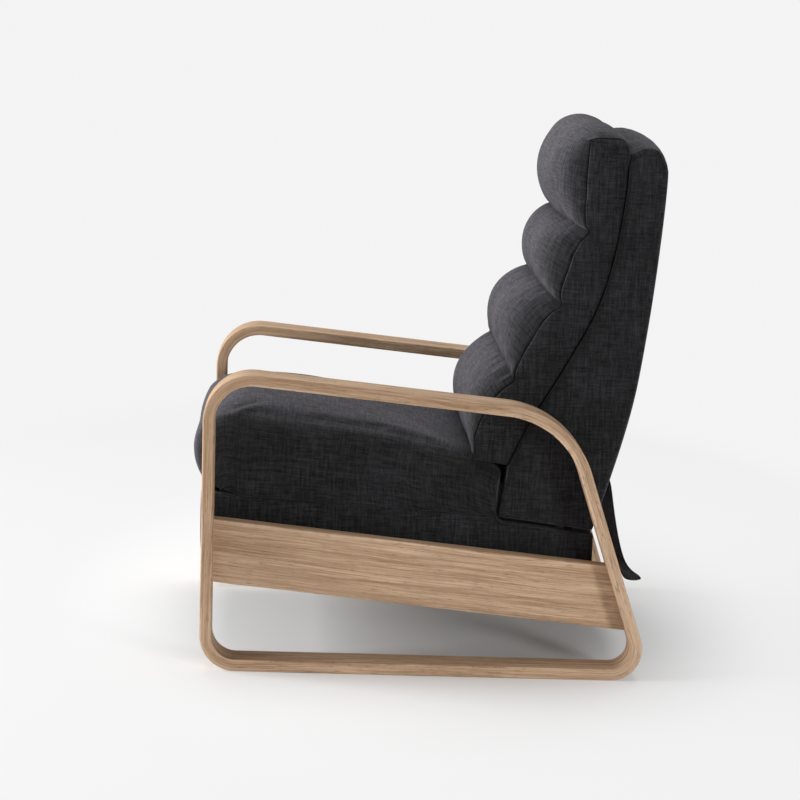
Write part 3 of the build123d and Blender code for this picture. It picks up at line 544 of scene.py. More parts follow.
@dataclass(frozen=True)
class Strap:
    """Woven elastic webbing with ribs along its length."""

    name: str
    color: Triple
    stripe: Triple
    rib_pitch: float = 0.004
    weft_pitch: float = 0.003

    def build(self) -> bpy.types.Material:
        """Makes the material."""
        material, graph = new_material(self.name)
        x, y, z = graph.split(graph.node("ShaderNodeTexCoord").outputs["Object"])
        rib, weft = (graph.math("SINE", graph.mul(graph.add(*sides), 2 * math.pi / pitch))
                     for sides, pitch in (((x, z), self.rib_pitch), ((y, x), self.weft_pitch)))
        height = graph.add(rib, weft)
        graph.surface({"Base Color": graph.mix(graph.ramp(height, -1.5, 1.8), self.color, self.stripe),
                       "Roughness": graph.ramp(height, -2.0, 2.0, 0.9, 0.7)}, height, 0.5, 0.0006)
        return material


class Finishes:
    """Every finish of the chair."""

    # Frame boards that show in the gaps, made near black as painted shade
    gap_shade_nodes = ("seat_side_board", "seat_front_rail", "seat_tail_rail", "seat_rear_rail", "back_bottom_rail",
                     "back_side_board", "footrest_board")

    def __init__(self) -> None:
        """Builds the shared groups and the materials."""
        shared = Shared()
        oak = {"pale": (0.640, 0.452, 0.306), "dark": (0.33, 0.200, 0.112), "pore": (0.15, 0.083, 0.042)}
        pine = {"pale": (0.62, 0.47, 0.29), "dark": (0.45, 0.31, 0.17), "pore": (0.33, 0.21, 0.11)}
        self.loop = Wood("loop_oak", grain=Grain.LOOP, **oak).build(shared)
        self.rail = Wood("rail_oak", grain=Grain.RAIL, **oak).build(shared)
        self.cross_wood = Wood("cross_pine", grain=Grain.CROSS, **pine).build(shared)
        self.upright_wood = Wood("upright_pine", grain=Grain.UPRIGHT, **pine).build(shared)
        # Near black wood that stands in for the shade in the frame's gaps
        self.gap_shade_wood = Wood("gap_shade_pine", (0.014, 0.013, 0.012), (0.008, 0.007, 0.007), (0.004, 0.004, 0.004),
                                 Grain.CROSS, roughness=0.7).build(shared)
        self.linen = Linen("charcoal_linen", (0.0042, 0.0042, 0.0048), (0.0325, 0.0320, 0.0355)).build(shared)
        self.plain = {"webbing": Strap("elastic_webbing", (0.02, 0.02, 0.022), (0.07, 0.07, 0.07)).build(),
                      "nylon": Metal("glide_nylon", (0.72, 0.71, 0.68), 0.0, 0.45, 0.1).build(),
                      "zinc": Metal("zinc_steel", (0.62, 0.62, 0.61), 1.0, 0.36, 0.1).build(),
                      "black_steel": Metal("black_steel", (0.022, 0.022, 0.024), 0.0, 0.5, 0.35).build(),
                      "upholstery": self.linen}

    def choose(self, node: str, slot: str) -> bpy.types.Material:
        """The finish of a CAD node."""
        if slot == "oak":
            return self.loop if node.startswith("loop") else self.rail
        if slot != "frame_wood":
            return self.plain[slot]
        if node.startswith("outer_back_panel"):
            return self.upright_wood
        return self.gap_shade_wood if node.startswith(self.gap_shade_nodes) else self.cross_wood

    def dress_all(self) -> None:
        """Gives every CAD node the finish that its place calls for."""
        for row in frame["record"]["subparts"]:
            node, slot = row["node"], row["material_slot"]
            materials = bpy.data.objects[node].data.materials
            materials.clear()
            materials.append(self.choose(node, slot))
            LOG.info("dressed %s in %s", node, slot)


def clear_selection() -> None:
    """Deselects everything."""
    for thing in bpy.context.selected_objects:
        thing.select_set(False)


def activate(obj: bpy.types.Object) -> None:
    """Makes one object the only selected one."""
    clear_selection()
    obj.select_set(True)
    bpy.context.view_layer.objects.active = obj


def apply_modifier(obj: bpy.types.Object, name: str) -> None:
    """Applies one modifier."""
    activate(obj)
    bpy.ops.object.modifier_apply(modifier=name)


def ids(numbers: np.ndarray) -> list[int]:
    """Vertex numbers as plain whole numbers."""
    return [int(number) for number in np.ravel(numbers)]


def corners_of(obj: bpy.types.Object, numbers: np.ndarray) -> np.ndarray:
    """Where the numbered vertices are now."""
    return np.array([obj.data.vertices[number].co for number in ids(numbers)])


class Patchwork:
    """Collects grids of points into one mesh whose shared edges are welded."""

    def __init__(self, name: str) -> None:
        """Starts an empty mesh."""
        self.name = name
        self.points: list[Triple] = []
        self.faces: list[tuple[int, ...]] = []
        self.cloth: list[list[Point]] = []
        self.index: dict[tuple[int, ...], int] = {}

    def place(self, point: np.ndarray) -> int:
        """Number of the vertex at a point, made if it is new."""
        key = tuple(int(round(v * WELDS_PER_METRE)) for v in point)
        if key not in self.index:
            self.index[key] = len(self.points)
            self.points.append(tuple(float(v) for v in point))
        return self.index[key]

    def grid(self, grid: np.ndarray, cloth: np.ndarray, flip: bool = False) -> np.ndarray:
        """Adds a grid of faces.

        Args:
            grid: rows, columns and three coordinates.
            cloth: rows, columns and two flat cloth coordinates.
            flip: turns the faces to the other side.

        Returns:
            The vertex numbers by row and column.
        """
        rows, columns = grid.shape[:2]
        numbers = np.array([[self.place(grid[i, j]) for j in range(columns)] for i in range(rows)])
        for i in range(rows - 1):
            for j in range(columns - 1):
                corners = [(i, j), (i, j + 1), (i + 1, j + 1), (i + 1, j)]
                if flip:
                    corners.reverse()
                ring = [int(numbers[c]) for c in corners]
                kept = [n for n in range(4) if ring[n] != ring[n - 1]]
                if len(kept) < 3 or len({ring[n] for n in kept}) < len(kept):
                    continue
                self.faces.append(tuple(ring[n] for n in kept))
                self.cloth.append([tuple(cloth[corners[n]]) for n in kept])
        return numbers

    def build(self, closed: bool = False) -> bpy.types.Object:
        """Makes the object, with its flat cloth map.

        Args:
            closed: whether the mesh is a closed shell, whose faces are then turned outwards.

        Returns:
            The new object.
        """
        mesh = bpy.data.meshes.new(self.name)
        mesh.from_pydata(self.points, [], self.faces)
        layer = mesh.uv_layers.new(name=CLOTH_MAP)
        flat = [value for face in self.cloth for corner in face for value in corner]
        layer.data.foreach_set("uv", np.array(flat, np.float32))
        mesh.update()
        obj = bpy.data.objects.new(self.name, mesh)
        bpy.context.scene.collection.objects.link(obj)
        if closed:
            activate(obj)
            bpy.ops.object.mode_set(mode="EDIT")
            bpy.ops.mesh.select_all(action="SELECT")
            bpy.ops.mesh.normals_make_consistent(inside=False)
            bpy.ops.object.mode_set(mode="OBJECT")
        return obj


def tree_of(points: np.ndarray) -> KDTree:
    """A search tree of points."""
    tree = KDTree(len(points))
    for number, point in enumerate(points):
        tree.insert(Vector(point), number)
    tree.balance()
    return tree


def paint_seam_shade(obj: bpy.types.Object, lines: list[tuple[np.ndarray, float, float]]) -> None:
    """Paints shade along sewn lines, creases and hems, as a value on the mesh by which its finish darkens the cloth.

    Args:
        obj: the piece.
        lines: points along a line, how far its painted shade reaches and how strong it is.
    """
    painted_shade = np.zeros(len(obj.data.vertices))
    for points, reach, amount in lines:
        tree = tree_of(points)
        away = np.array([tree.find(v.co)[2] for v in obj.data.vertices])
        painted_shade = np.maximum(painted_shade, amount * np.clip(1 - away / reach, 0, 1) ** 1.5)
    layer = obj.data.attributes.new(SEAM_SHADE, "FLOAT", "POINT")
    layer.data.foreach_set("value", painted_shade.astype(np.float32))


def flat_lengths(grid: np.ndarray) -> np.ndarray:
    """Flat cloth coordinates of a grid, measured along its rows and columns.

    Args:
        grid: rows, columns and three coordinates.

    Returns:
        rows, columns and two lengths in metres.
    """
    down = np.linalg.norm(np.diff(grid, axis=0), axis=2).mean(1)
    wide = np.linalg.norm(np.diff(grid, axis=1), axis=2).mean(0)
    return np.stack(np.meshgrid(running(wide), running(down)), -1)


@dataclass
class Pressure:
    """How a cushion is blown up as cloth before it is finished."""

    force: float
    cap: float
    side_cap: float
    frames: int = 20
    stiffness: float = 12.0

    def settle(self, obj: bpy.types.Object, held: dict[int, float]) -> None:
        """Runs the cloth and keeps the capped result in the mesh.

        Args:
            obj: the closed cushion.
            held: how firmly each vertex number is held, from 0 to 1.
        """
        group = obj.vertex_groups.new(name="held")
        for number, weight in held.items():
            group.add([number], weight, "REPLACE")
        start = np.array([v.co for v in obj.data.vertices], float).reshape(-1, 3)
        modifier = obj.modifiers.new("cloth", "CLOTH")
        settings = modifier.settings
        settings.effector_weights.gravity = 0.0
        for name, value in {"quality": 6, "mass": 0.3, "tension_stiffness": self.stiffness,
                            "compression_stiffness": self.stiffness, "shear_stiffness": self.stiffness / 3,
                            "bending_stiffness": 0.6, "use_pressure": True, "uniform_pressure_force": self.force,
                            "vertex_group_mass": "held", "air_damping": 4.0}.items():
            setattr(settings, name, value)
        modifier.point_cache.frame_start = 1
        modifier.point_cache.frame_end = self.frames
        scene = bpy.context.scene
        for step in range(1, self.frames + 1):
            scene.frame_set(step)
        evaluated = obj.evaluated_get(bpy.context.evaluated_depsgraph_get())
        end = np.array([v.co for v in evaluated.data.vertices], float).reshape(-1, 3)
        obj.modifiers.remove(modifier)
        scene.frame_set(1)
        move = end - start
        length = np.linalg.norm(move, axis=1)
        move *= np.minimum(1.0, self.cap / np.maximum(length, TINY))[:, None]
        move[:, 0] = np.clip(move[:, 0], -self.side_cap, self.side_cap)
        LOG.info("%s: cloth moved up to %.1f mm, kept up to %.1f mm", obj.name, length.max() / MM,
                 np.linalg.norm(move, axis=1).max() / MM)
        obj.data.vertices.foreach_set("co", (start + move).ravel())
        obj.data.update()


def displace(obj: bpy.types.Object, still: set[int], amount: Callable[[Vector], float]) -> None:
    """Moves vertices along their normals.

    Args:
        obj: the piece.
        still: vertex numbers that stay where they are.
        amount: how far a vertex goes, from its place.
    """
    normals = [v.normal.copy() for v in obj.data.vertices]
    for vertex in obj.data.vertices:
        if vertex.index not in still:
            vertex.co += normals[vertex.index] * amount(vertex.co)


def pucker(obj: bpy.types.Object, lines: list[np.ndarray], reach: float, depth: float, pitch: float,
           still: set[int]) -> None:
    """Draws small gathers into the cloth beside sewn lines.

    Args:
        obj: the piece.
        lines: points along each sewn line.
        reach: how far the gathers run from the line.
        depth: how deep they are.
        pitch: the mean distance from one to the next.
        still: vertex numbers that stay where they are.
    """
    tree = tree_of(np.concatenate(lines))

    def gather(place: Vector) -> float:
        """How far a place stands out."""
        spot, _, away = tree.find(place)
        if away > reach:
            return 0.0
        fade = (1 - away / reach) ** 1.5 * min(1.0, away / (reach * 0.12) + 0.25)
        return noise.noise(Vector((spot.x / pitch, spot.y / pitch * 1.3, spot.z / pitch * 1.3))) * depth * fade

    displace(obj, still, gather)


def wave(obj: bpy.types.Object, size: float, depth: float, seed: float, still: set[int]) -> None:
    """Adds slow unevenness, as hand filled cushions have."""
    displace(obj, still, lambda place: noise.noise(place / size + Vector((seed, seed, seed))) * depth)


def sharpen(obj: bpy.types.Object, seams: list[list[int]], amount: float) -> None:
    """Keeps sewn edges crisp when the piece is subdivided.

    Args:
        obj: the piece.
        seams: the vertex numbers along each seam.
        amount: how crisp, from 0 to 1.
    """
    pairs = {frozenset(pair) for seam in seams for pair in zip(seam, seam[1:])}
    crease = obj.data.attributes.get("crease_edge") or obj.data.attributes.new("crease_edge", "FLOAT", "EDGE")
    for edge in obj.data.edges:
        if frozenset(edge.vertices) in pairs:
            crease.data[edge.index].value = amount


def refine(points: np.ndarray) -> np.ndarray:
    """A line with four points for each step of another one."""
    steps = np.linspace(0, len(points) - 1, 4 * len(points))
    return np.stack([np.interp(steps, np.arange(len(points)), points[:, i]) for i in range(3)], -1)


def sink(obj: bpy.types.Object, numbers: list[int], depth: float) -> None:
    """Draws vertices inwards, as thread pulls a seam."""
    normals = {n: obj.data.vertices[n].normal.copy() for n in numbers}
    for number, normal in normals.items():
        obj.data.vertices[number].co -= normal * depth


def subdivide(obj: bpy.types.Object) -> None:
    """Applies one level of subdivision surface."""
    modifier = obj.modifiers.new("smooth", "SUBSURF")
    modifier.levels = modifier.render_levels = 1
    modifier.uv_smooth = "PRESERVE_BOUNDARIES"
    apply_modifier(obj, modifier.name)


def thicken(obj: bpy.types.Object, thickness: float, offset: float) -> None:
    """Turns a sheet into a thin solid."""
    wall = obj.modifiers.new("wall", "SOLIDIFY")
    wall.thickness = thickness
    wall.offset = offset
    apply_modifier(obj, wall.name)


def smooth(obj: bpy.types.Object, degrees: float | None = None) -> None:
    """Shades a piece smooth, or smooth up to an angle."""
    activate(obj)
    if degrees is None:
        bpy.ops.object.shade_smooth()
    else:
        bpy.ops.object.shade_smooth_by_angle(angle=math.radians(degrees))


def finish_piece(obj: bpy.types.Object, material: bpy.types.Material, body: Body | None, node: str) -> None:
    """Gives a soft piece its cloth and body, and hides the CAD node that it stands for.

    Args:
        obj: the finished piece.
        material: its cloth.
        body: the body it rides on, or None to leave it on no body.
        node: the CAD node it stands for.
    """
    obj.data.materials.clear()
    obj.data.materials.append(material)
    if body is not None:
        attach(obj, body.value)
    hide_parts(node)
    LOG.info("made %s with %d faces", obj.name, len(obj.data.polygons))


@dataclass
class Wrap:
    """Cloth drawn over a side board and folded round its edges.

    The four edges run round the board: up the front, rearwards along the top, down the rear, forward along the foot.
    """

    name: str
    front: np.ndarray
    top: np.ndarray
    rear: np.ndarray
    foot: np.ndarray
    outside: float
    lap_to: float
    proud: tuple[float, ...]
    radius: tuple[float, ...]
    laps: tuple[bool, ...]
    bulge: float = 0.002
    long_steps: int = 56
    short_steps: int = 12
    round_steps: int = 5
    cross_from: int = -1
    cross_to: int = -1
    cross_columns: int = 49
    cross_bend: float = 0.9
    lift_at: tuple[float, ...] = ()
    lift: tuple[float, ...] = ()
    slack: float = 0.6
    shade_degrees: float = 60.0

    def __post_init__(self) -> None:
        """Works out the loop round the board, its normals and how far its edge stands out and is rounded."""
        self.counts = (self.long_steps, self.short_steps) * 2
        lines = (self.front, self.top, self.rear, self.foot)
        self.loop = np.concatenate([resample(line, even(n))[:-1] for line, n in zip(lines, self.counts)])
        normal, rounding = inward(self.loop, True), np.repeat(self.radius, self.counts)
        for _ in range(2):
            normal = (np.roll(normal, 1, 0) + normal * 2 + np.roll(normal, -1, 0)) / 4
            normal /= np.hypot(*normal.T)[:, None]
            rounding = (np.roll(rounding, 1) + rounding * 2 + np.roll(rounding, -1)) / 4
        self.normal, self.rounding, self.proud_at = normal, rounding, np.repeat(self.proud, self.counts)
        self.girth = running(np.hypot(*(np.roll(self.loop, -1, 0) - self.loop).T))

    def ring(self, turn: float, step: float = 0.0) -> np.ndarray:
        """The loop part of the way round the board's edge, or inward from it across the width."""
        edge = self.outside - self.rounding
        spots = self.loop + self.normal * (self.rounding * (1 - math.cos(turn)) - self.proud_at)[:, None]
        return np.column_stack([edge + self.rounding * math.sin(turn) + (self.lap_to - edge) * step, spots])

    def rim(self, work: Patchwork, sign: int) -> None:
        """Adds the cloth round the board's edge on one side, open where cloth crosses the chair."""
        turns = [math.pi / 2 * i / self.round_steps for i in range(self.round_steps + 1)]
        rings = [self.ring(0, 1.0), *(self.ring(turn) for turn in turns)]
        start = 0
        for lap, count in zip(self.laps, self.counts):
            whole = list(range(start, start + count + 1))
            for level in range(0 if lap else 1, len(rings) - 1):
                pieces = [whole]
                if level == 0 and self.cross_to > self.cross_from >= 0:
                    pieces = [[k for k in whole if k <= self.cross_from], [k for k in whole if k >= self.cross_to]]
                for piece in pieces:
                    if len(piece) < 2:
                        continue
                    at = [k % len(self.loop) for k in piece]
                    grid = np.stack([ring[at] for ring in rings[level:level + 2]])
                    flat = np.stack([np.column_stack([self.girth[piece], row[:, 0]]) for row in grid])
                    grid[..., 0] *= sign
                    work.grid(grid, flat, flip=sign > 0)
            start += count

    def panel(self, work: Patchwork, sign: int) -> None:
        """Adds the slightly bulging side face, spanned between its four edges."""
        inner = self.ring(math.pi / 2)[:, 1:]
        a, b, c, _ = self.counts
        left, right = inner[:a + 1], inner[a + b:a + b + c + 1][::-1]
        over, under = inner[a:a + b + 1], np.concatenate([inner[a + b + c:], inner[:1]])[::-1]
        u, v = (np.arange(b + 1) / b)[None, :, None], (np.arange(a + 1) / a)[:, None, None]
        spots = (left[:, None] * (1 - u) + right[:, None] * u + under * (1 - v) + over * v
                 - left[0] * (1 - u) * (1 - v) - right[0] * u * (1 - v)
                 - left[-1] * (1 - u) * v - right[-1] * u * v)
        swell = ((np.sin(math.pi * u) * np.minimum(1.0, 8 * v * (1 - v))) ** 0.7)[..., 0]
        slack = np.array([[noise.noise(Vector((y * 9, z * 7, sign * 3.7))) for y, z in row] for row in spots])
        wide = sign * (self.outside + self.bulge * swell * (1 + slack * self.slack))
        work.grid(np.dstack([wide, spots]), spots, flip=sign < 0)

    def crossing(self, work: Patchwork) -> None:
        """Adds the arched cloth that crosses the chair between the two sides."""
        numbers = list(range(self.cross_from, self.cross_to + 1))
        places = crowded(self.cross_columns, self.cross_bend)
        rises = np.interp(np.linspace(0, 1, len(numbers)), self.lift_at, self.lift)
        rows = []
        for k, rise, (half, *spot) in zip(numbers, rises, self.ring(0)[numbers]):
            way = -self.normal[k] if k > self.counts[0] + 1 else np.array([0.0, 1.0])
            arch = np.maximum(0.0, 1 - places ** 2) ** 0.8
            rows.append(np.column_stack([half * places, np.array(spot) + way * rise * arch[:, None]]))
        grid = np.array(rows)
        wide = np.repeat(self.girth[numbers][:, None], self.cross_columns, 1)
        work.grid(grid, np.stack([grid[..., 0], wide], -1))

    def build(self, signs: tuple[int, ...]) -> bpy.types.Object:
        """Makes the cloth on the given sides as one thin skin."""
        work = Patchwork(self.name)
        for sign in signs:
            self.rim(work, sign)
            self.panel(work, sign)
        if self.cross_to > self.cross_from >= 0:
            self.crossing(work)
        obj = work.build()
        thicken(obj, SKIN, -1.0)
        smooth(obj, self.shade_degrees)
        return obj


@dataclass
class Back:
    """The back: a padded shell, a cushion of four rolls and a loose rear flap."""

    base: tuple[float, float] = (557.0, 378.0)
    run: float = 195.0
    rise: float = 632.0
    foot: tuple[float, float] = (543.0, 285.0)
    heel: tuple[float, float] = (715.0, 264.0)
    half_width: float = 0.271
    cushion_half_width: float = 0.262
    line: tuple = ((0, 0), (0.164, 0.120), (0.477, 0.285), (0.836, 0.498), (0.985, 0.767), (1.0, 0.913))
    side_rolls: tuple = (((-0.340, 0.012), (-0.368, 0.059), (-0.276, 0.149), (-0.117, 0.221), (0.020, 0.250)),
                         ((0.020, 0.250), (0.010, 0.284), (0.178, 0.387), (0.292, 0.445), (0.428, 0.474)),
                         ((0.428, 0.474), (0.390, 0.508), (0.450, 0.570), (0.531, 0.652), (0.664, 0.688)),
                         ((0.664, 0.688), (0.590, 0.712), (0.600, 0.838), (0.612, 0.955)),
                         ((0.612, 0.955), (0.720, 0.962), (0.945, 0.954), (0.992, 0.938), (1.0, 0.913)))
    middle_creases: tuple = ((-0.318, 0.030), (-0.062, 0.304), (0.272, 0.519), (0.477, 0.715), (0.487, 0.952))
    side_swell: float = 0.0105
    middle_bulges: tuple = (0.070, 0.060, 0.052, 0.050)
    middle_top: tuple[float, float] = (0.735, 0.999)
    outer: tuple = ((1.005, 0.913), (1.12, 0.934), (1.19, 0.936), (1.28, 0.925), (1.348, 0.880), (1.35, 0.845),
                    (1.335, 0.742), (1.28, 0.525), (1.205, 0.324), (1.145, 0.199), (1.05, 0.075), (0.96, -0.025))
    steps: tuple[int, ...] = (22, 24, 22, 28, 20)
    rear_shares: tuple[float, ...] = (0.0, 0.30, 0.545, 0.745, 0.93, 1.0)
    columns: int = 76
    rows_through: int = 14
    hem_height: float = 362.2
    outer_corner: Point = (1.325, 0.905)
    face_bend: float = 0.94
    skin_gap: float = 0.0015
    crease_inset: float = 0.003
    flap_half_width: float = 0.244
    flap_flat_width: float = 0.488
    flap_sewn: float = 0.002
    flap_rows: int = 30
    flap_columns: int = 80
    # Where the flap starts to turn towards its corners, and over what width
    flap_turn: Point = (0.13, 0.114)
    # Its soft folds: the width of one, where it starts and how strong it is
    flap_folds: tuple = ((0.203, 0.9, 0.6), (0.127, 0.0, 0.3))
    fold_depth: float = 0.0045
    fold_rise: float = 0.002
    fold_fade: float = 0.04
    # Two heights on the flap, between its top at the back and its foot by the seat
    flap_blend: Point = (0.350, 0.185)
    flap_corner: tuple = ((743.4, 368.0), (742.4, 360.0), (748.5, 348.0), (755.7, 303.3), (764.4, 259.3),
                          (772.2, 227.6), (783.2, 196.2), (799.8, 178.5), (810.0, 175.0), (815.0, 167.0))
    flap_middle: tuple = ((743.4, 368.0), (742.4, 360.0), (747.5, 345.0), (752.0, 303.0), (757.0, 259.0),
                          (762.0, 222.0), (769.0, 190.0), (783.0, 163.0), (797.0, 152.0), (803.0, 141.0))

    def at(self, share: Point) -> np.ndarray:
        """A side view point from shares of the back's run and rise."""
        return side_point(self.base[0] + share[0] * self.run, self.base[1] + share[1] * self.rise)

    def line_at(self, shares: tuple[Point, ...]) -> np.ndarray:
        """A smooth side view line from shares of the back's run and rise."""
        return round_off(np.array([self.at(share) for share in shares]))

    def outlines(self) -> tuple[np.ndarray, np.ndarray, list[int]]:
        """The cushion's front outline at a side seam and in the middle.

        Returns:
            The two outlines from the bottom up, point for point, and the numbers of the points in creases.
        """
        side = [self.at(self.side_rolls[0][0])[None]]
        middle = [self.at(self.middle_creases[0])[None]]
        marks = [0]
        ends = [*self.middle_creases, self.line[-1]]
        for number, count in enumerate(self.steps):
            side.append(resample(self.line_at(self.side_rolls[number]), even(count))[1:])
            low, high = self.at(ends[number]), self.at(ends[number + 1])
            crest = self.at(self.middle_top)
            if number < len(self.middle_bulges):
                chord = (high - low) / np.hypot(*(high - low))
                crest = between(low, high, 0.5) + np.array([-chord[1], chord[0]]) * (
                    self.middle_bulges[number] * self.rise * MM)
                marks.append(marks[-1] + count)
            middle.append(arc_points(low, crest, high, count)[1:])
        return np.concatenate(side), np.concatenate(middle), marks

    @staticmethod
    def swells(rows: int, marks: list[int], reach: np.ndarray) -> Callable[[np.ndarray], np.ndarray]:
        """How far the boxing stands out, by row and by share of the way from the rear to the front seam.

        Args:
            rows: how many rows the boxing has.
            marks: the rows that end in creases.
            reach: how wide the boxing is at each row, in metres.

        Returns:
            A function of the shares that gives values from 0 to 1.
        """
        roll = np.ones(rows)
        for low, high in zip(marks, marks[1:]):
            roll[low:high + 1] = np.sin(math.pi * ((np.arange(low, high + 1) - low) / (high - low))) ** 0.5
        edge = np.clip(np.arange(rows) / 4, 0, 1) * np.clip(reach / 0.035, 0, 1)

        def shape(through: np.ndarray) -> np.ndarray:
            """Values by row and share."""
            full = np.sin(math.pi * np.clip(through, 0, 1)) ** 0.45
            pinch = 1 - through[None, :] ** 2 * (1 - roll[:, None]) * 0.9
            return full[None, :] * pinch * edge[:, None]

        return shape

    def cushion(self, linen: bpy.types.Material) -> None:
        """Builds the four-roll cushion as blown up cloth held at its seams."""
        places = crowded(self.columns + 1, self.face_bend)
        rear = resample(self.line_at(self.line), stepped(self.rear_shares, self.steps))
        side, middle, marks = self.outlines()
        x = places * self.cushion_half_width
        face = loft(x, [between(side, middle, crown(float(share))) for share in places])
        hind = loft(x, [rear] * len(x))
        work = Patchwork("back_cushion_linen")
        through = 1 - (1 - even(self.rows_through)) ** 1.6
        numbers = work.grid(face, flat_lengths(face), flip=True)
        rear_numbers = ids(work.grid(hind, flat_lengths(hind)))
        swells = self.swells(len(rear), marks, np.linalg.norm(face[:, 0] - hind[:, 0], axis=1))
        for column, sign in ((0, -1), (-1, 1)):
            cap = span(hind[:, column], face[:, column], through).swapaxes(0, 1)
            cap[..., 0] += sign * self.side_swell * swells(through)
            work.grid(cap, cap[..., 1:], flip=sign > 0)
        floor = span(hind[0], face[0], through)
        work.grid(floor, flat_lengths(floor))
        obj = work.build(closed=True)
        seams = [ids(numbers[:, column]) for column in (0, -1)]
        held = dict.fromkeys([*rear_numbers, *ids(numbers[marks[1:-1]])], 1.0)
        held.update(dict.fromkeys(ids(numbers[0]), 0.9))
        held.update(dict.fromkeys(seams[0] + seams[1], 0.85))
        Pressure(force=3.0, cap=0.014, side_cap=0.0015).settle(obj, held)
        lines = [corners_of(obj, numbers[mark]) for mark in marks[:-1]]
        edges = [corners_of(obj, seam) for seam in seams]
        still = set(rear_numbers)
        wave(obj, 0.11, 0.004, 3.1, still)
        pucker(obj, lines, 0.055, 0.0048, 0.016, still)
        pucker(obj, edges, 0.035, 0.004, 0.018, still)
        sharpen(obj, seams, 0.5)
        sink(obj, seams[0] + seams[1], 0.003)
        # Painted shade along the side seams, the creases between the rolls and the rear edges that meet the shell
        drawn = [*((corners_of(obj, seam), 0.0042, 1.0) for seam in seams),
                 *((corners_of(obj, numbers[mark]), 0.010, 0.8) for mark in marks[1:-1]),
                 *((hem, 0.009, 1.0) for hem in self.both_sides(rear, self.cushion_half_width))]
        subdivide(obj)
        smooth(obj)
        paint_seam_shade(obj, [(refine(points), reach, amount) for points, reach, amount in drawn])
        finish_piece(obj, linen, Body.BACK, "back_cushion")

    @staticmethod
    def both_sides(line: np.ndarray, half: float) -> list[np.ndarray]:
        """A side view line at both sides of the chair."""
        return [np.column_stack([np.full(len(line), side * half), line]) for side in (-1, 1)]

    def shell(self, linen: bpy.types.Material) -> None:
        """Builds the upholstered shell: two side panels, the top and the rear."""
        front = np.concatenate([[side_point(*self.foot)], self.line_at(self.line) + np.array([MM, 0])])
        outer = round_off(np.array([front[-1], *[self.at(p) for p in self.outer[1:]]]))
        corner = int(np.argmin(np.hypot(*(outer - self.at(self.outer_corner)).T)))
        rear = np.concatenate([outer[corner:], [side_point(*self.heel)]])
        wrap = Wrap("back_shell_linen", front, outer[:corner + 1], rear, np.array([rear[-1], front[0]]),
                    outside=self.half_width + self.skin_gap, lap_to=0.228, proud=(0.0020, 0.0015, 0.0015, 0.001),
                    radius=(0.0035, 0.012, 0.012, 0.006), laps=(True, False, True, True),
                    lift_at=(0.0, 0.055, 0.085, 0.22, 0.45, 1.0), lift=(0.0, 0.0, 0.018, 0.012, 0.006, 0.0005))
        hem = side_point(0, self.hem_height)[1]
        above = int(np.sum(resample(rear, even(wrap.long_steps))[:, 1] > hem))
        wrap.cross_from = wrap.long_steps - 4
        wrap.cross_to = wrap.long_steps + wrap.short_steps + above
        obj = wrap.build((-1, 1))
        creases = self.both_sides(front, self.half_width - self.crease_inset)
        # Painted shade along the crease where the shell meets the cushion
        paint_seam_shade(obj, [(refine(crease), 0.014, 1.0) for crease in creases])
        finish_piece(obj, linen, Body.BACK, "back_cover")

    def flap(self, linen: bpy.types.Material) -> None:
        """Builds the loose cloth that hangs from the rear hem."""
        half = self.flap_half_width
        lines = [resample(round_off(side_points(points)), even(self.flap_rows))
                 for points in (self.flap_middle, self.flap_corner)]
        wide = np.linspace(-half, half, self.flap_columns + 1)
        turn, turn_width = self.flap_turn
        rows = []
        for i, (middle, corner) in enumerate(zip(*lines)):
            fall = i / self.flap_rows
            row = []
            for x in wide:
                point = between(middle, corner, max(0.0, (abs(x) - turn) / turn_width) ** 1.6)
                fold = sum(math.sin(x * 2 * math.pi / size + start) * amount
                           for size, start, amount in self.flap_folds)
                fold *= min(1.0, (half - abs(x)) / self.fold_fade)
                row.append((x, point[0] + fold * self.fold_depth * fall ** 1.5,
                            point[1] + fold * self.fold_rise * fall ** 2))
            rows.append(row)
        grid = np.array(rows)
        work = Patchwork("rear_flap_linen")
        work.grid(grid, flat_lengths(grid))
        obj = work.build()
        subdivide(obj)
        # Painted shade along the flap's lowest rows
        paint_seam_shade(obj, [(np.array([(x, *spot) for x in wide for spot in lines[0][-4:]]), 0.010, 0.7)])
        thicken(obj, FLAP_CLOTH, 0.0)
        smooth(obj)
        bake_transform(obj)
        finish_piece(obj, linen, None, "rear_flap")


